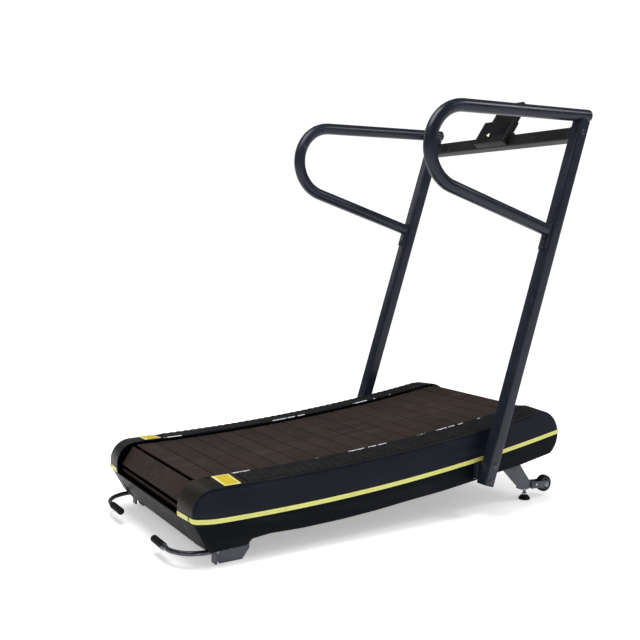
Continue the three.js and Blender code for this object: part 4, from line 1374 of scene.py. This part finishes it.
pad_profile = [(0.0, 0.0215), (0.0006, 0.0230), (0.0015, 0.0235), (0.0048, 0.0235), (0.0060, 0.0230),
               (0.0090, 0.0212), (0.0120, 0.0190), (0.0155, 0.0155), (0.0185, 0.0115), (0.0200, 0.0080)]
stud = threaded(0.0206, 0.0770, 0.0060, 0.0053, 0.0018) + [(0.0778, 0.0045)]
foot_form = shifted(stood_up(turned(pad_profile + [(0.0204, 0.0053)], 40)), *FOOT)
stud_form = shifted(stood_up(turned(stud, 24)), *FOOT)
foot_nut = hex_nut((*FOOT, 0.0203), (0, 0, 1), 0.0098, 0.0062)
make_pair("foot_nut", foot_nut, ZINC, "foot_{side}")
make_pair("foot_cone", foot_form, BLACK_RUBBER, "foot_{side}", "levelling_foot")
make_pair("foot_stud", stud_form, ZINC, "foot_{side}", crease=60)


def nut_ring(at, height):
    ring = [lock_ring(x, radius, six, cap) for x, radius, six, cap in (
        (0, 0.0105, True, 0.0098), (height * 0.12, 0.0105, True, None), (height * 0.88, 0.0105, True, None),
        (height, 0.0105, True, 0.0096), (height, 0.0066, False, None), (0, 0.0066, False, None))]
    return facing(skin(ring, closed=True), at, (0, 0, 1))


lock_nuts = joined(nut_ring((*FOOT, 0.0512), 0.0065), nut_ring((*FOOT, 0.0388), 0.0070))
make_pair("foot_lock_nuts", lock_nuts, ZINC)
print("levelling feet made")

# %% [markdown]
# ## Transport wheels
# A rubber tyre on a grey hub turns on a bolt between the two cheeks of a fork. Ribs in the
# hub make it a wheel and not a disc, and show its turning.

# %% Wheels, forks and axles
wheel_place = Matrix.Translation((0.364, 0.770, 0.054))
tyre = turned(symmetric([(0.0010, 0.0332), (0.0016, 0.0340), (0.0080, 0.0338), (0.0108, 0.0325),
                         (0.0120, 0.0300), (0.0118, 0.0250), (0.0105, 0.0235)]), 64, closed=True)
make_pair("tyre", moved(tyre, wheel_place), BLACK_RUBBER, "wheel_{side}", "transport_wheel")

hub = turned(symmetric([(0.0115, 0.0056), (0.0115, 0.0098), (0.0110, 0.0105), (0.0045, 0.0120),
                        (0.0050, 0.0200), (0.0112, 0.0215), (0.0112, 0.0236)]), 48, closed=True)
spokes = [moved(box(-0.0095, 0.0095, 0.0100, 0.0218, -0.0011, 0.0011, 0.0005),
                Matrix.Rotation(k * math.pi / 3, 4, "X")) for k in range(6)]
make_pair("hub", moved(joined(hub, *spokes), wheel_place), BRACKET_PAINT, "wheel_{side}")

fork_side = [(-0.081, -0.009), *arc(0, 0, 0.014, -math.pi / 2, math.pi / 2, 14), (-0.081, 0.019)]
cheeks = [pushed(fork_side, x, x + 0.005, 0.0008) for x in (-0.019, 0.014)]
fork_web = pushed(rectangle(-0.081, -0.076, -0.0086, 0.018), -0.0185, 0.0185, 0.0008)
make_pair("fork", moved(joined(*cheeks, fork_web), wheel_place), BRACKET_PAINT,
          stands_for="wheel_fork")
axle = turned(symmetric([(0.0195, 0.0049), (0.0200, 0.0045)]), 24)
axle_head = socket_bolt((0.0190, 0, 0), (1, 0, 0), 0.0075, 0.0042, 0.001)
axle_nut = hex_nut((-0.0190, 0, 0), (-1, 0, 0), 0.0078, 0.0052)
root_bolt = hex_nut((0.0190, -0.060, 0.006), (1, 0, 0), 0.0065, 0.0045)
make_pair("wheel_bolt", moved(joined(axle, axle_head, axle_nut, root_bolt), wheel_place), ZINC,
          stands_for="wheel_axle")
print("wheels made")

# %% [markdown]
# ## Lift handles
# To roll the machine away, two people lift its back end by the rods that reach out behind it.
# Each rod is bent once and ends in a ribbed rubber grip with a bright collar.

# %% Lift rods and grips
ROD_X, ROD_Z, ROD_R, ROD_START_Y, ROD_BACK_Y, ROD_BEND = 0.387, 0.050, 0.0085, -0.7165, -0.840, 0.105
GRIP_TIP_X, GRIP_END_X, GRIP_R, GRIP_GROOVE = 0.167, 0.266, 0.0128, 0.0012


def rod_station(x, y, dx, dy):
    return Vector((x, y, ROD_Z)), Vector((dx, dy, 0))


rod_stations = [rod_station(ROD_X, ROD_START_Y, 0, -1)]
for angle in steps(0, -math.pi / 2, 24):
    rod_stations.append(rod_station(ROD_X - ROD_BEND + ROD_BEND * math.cos(angle),
                                    ROD_BACK_Y + ROD_BEND + ROD_BEND * math.sin(angle),
                                    math.sin(angle), -math.cos(angle)))
rod_stations.append(rod_station(GRIP_TIP_X + 0.006, ROD_BACK_Y, -1, 0))
make_pair("lift_bar", swept(rod_stations, ROD_R, Vector((0, 0, 1)), 32), ROD, stands_for="lift_rod",
          crease=60)

grip_profile = [(GRIP_TIP_X, 0.004), (GRIP_TIP_X + 0.0004, 0.0085), (GRIP_TIP_X + 0.0016, 0.0110),
                (GRIP_TIP_X + 0.004, GRIP_R)]
for i in range(11):
    x = GRIP_TIP_X + 0.010 + i * 0.0078
    grip_profile += [(x, GRIP_R), (x + 0.0006, GRIP_R - GRIP_GROOVE),
                     (x + 0.0020, GRIP_R - GRIP_GROOVE), (x + 0.0026, GRIP_R)]
grip_profile += [(GRIP_END_X - 0.0012, GRIP_R), (GRIP_END_X, GRIP_R - 0.001), (GRIP_END_X, ROD_R + 0.0002)]
grip = shifted(turned(grip_profile, 36), 0, ROD_BACK_Y, ROD_Z)
make_pair("ribbed_grip", grip, BLACK_RUBBER, stands_for="lift_grip")
collar = turned([(0.0, ROD_R), (0.0, 0.0112), (0.0006, 0.0118), (0.0042, 0.0118), (0.0048, 0.0112),
                 (0.0048, ROD_R)], 36)
make_pair("grip_collar", shifted(collar, GRIP_END_X + 0.0002, ROD_BACK_Y, ROD_Z), ZINC)
print("lift handles made")

# %% [markdown]
# ## Floor and light
# A pale floor, a white surround and three soft lamps: one overhead that draws the rounded
# edges, a small one in front on the right that lays a long glint on the tubes, and a gentle
# one on the left. The surround is white to the eye and dim in reflections, so that the dark
# plastics stay dark.


# %% Floor, surround and lamps
def pale_floor():
    constants = {"Specular IOR Level": 0.1, "Roughness": 0.9, "Emission Strength": 0.38}
    ground = Finish("pale floor", "floor", constants)
    ground.shader.inputs["Emission Color"].default_value = (1, 1, 1, 1)
    cloud = ground.noise(1.5, 2)
    ground.feed("Base Color", ground.blend(cloud, tint(250, 250, 250), tint(254, 254, 254)))
    return ground


FLOOR_REACH, FLOOR_Z = 60, -0.0005
corners = rectangle(-FLOOR_REACH, FLOOR_REACH, -FLOOR_REACH, FLOOR_REACH)
floor_mesh = bpy.data.meshes.new("floor")
floor_mesh.from_pydata([(x, y, FLOOR_Z) for x, y in corners], [], [(0, 1, 2, 3)])
floor_mesh.materials.append(pale_floor().material)
floor = bpy.data.objects.new("floor", floor_mesh)
bpy.context.scene.collection.objects.link(floor)

surround = bpy.data.worlds.new("white surround")
surround.use_nodes = True
SOFT_LIGHT, IN_REFLECTIONS, TO_THE_EYE = 0.7, 0.1, 1.05
nodes, links = surround.node_tree.nodes, surround.node_tree.links
nodes["Background"].inputs["Color"].default_value = (1, 1, 1, 1)
rays = nodes.new("ShaderNodeLightPath")
bounced, seen = nodes.new("ShaderNodeMix"), nodes.new("ShaderNodeMix")
bounced.inputs[2].default_value = SOFT_LIGHT
bounced.inputs[3].default_value = IN_REFLECTIONS
seen.inputs[3].default_value = TO_THE_EYE
links.new(rays.outputs["Is Glossy Ray"], bounced.inputs[0])
links.new(rays.outputs["Is Camera Ray"], seen.inputs[0])
links.new(bounced.outputs[0], seen.inputs[2])
links.new(seen.outputs[0], nodes["Background"].inputs["Strength"])
bpy.context.scene.world = surround


def lamp(name, at, towards, size, power):
    light = bpy.data.lights.new(name, "AREA")
    light.shape, light.size, light.energy = "SQUARE", size, power
    holder = bpy.data.objects.new(name, light)
    holder.location = at
    holder.rotation_euler = (Vector(at) - Vector(towards)).to_track_quat("Z", "Y").to_euler()
    bpy.context.scene.collection.objects.link(holder)


lamp("overhead", (0.1, -0.9, 3.4), (0, -0.2, 0.3), 1.6, 60)
lamp("right front", (2.0, 2.4, 3.2), (0.4, 0.4, 1.3), 0.9, 26)
lamp("left side", (-3.0, -0.6, 2.4), (0, 0.2, 0.8), 1.6, 8)
print("floor and lamps ready")
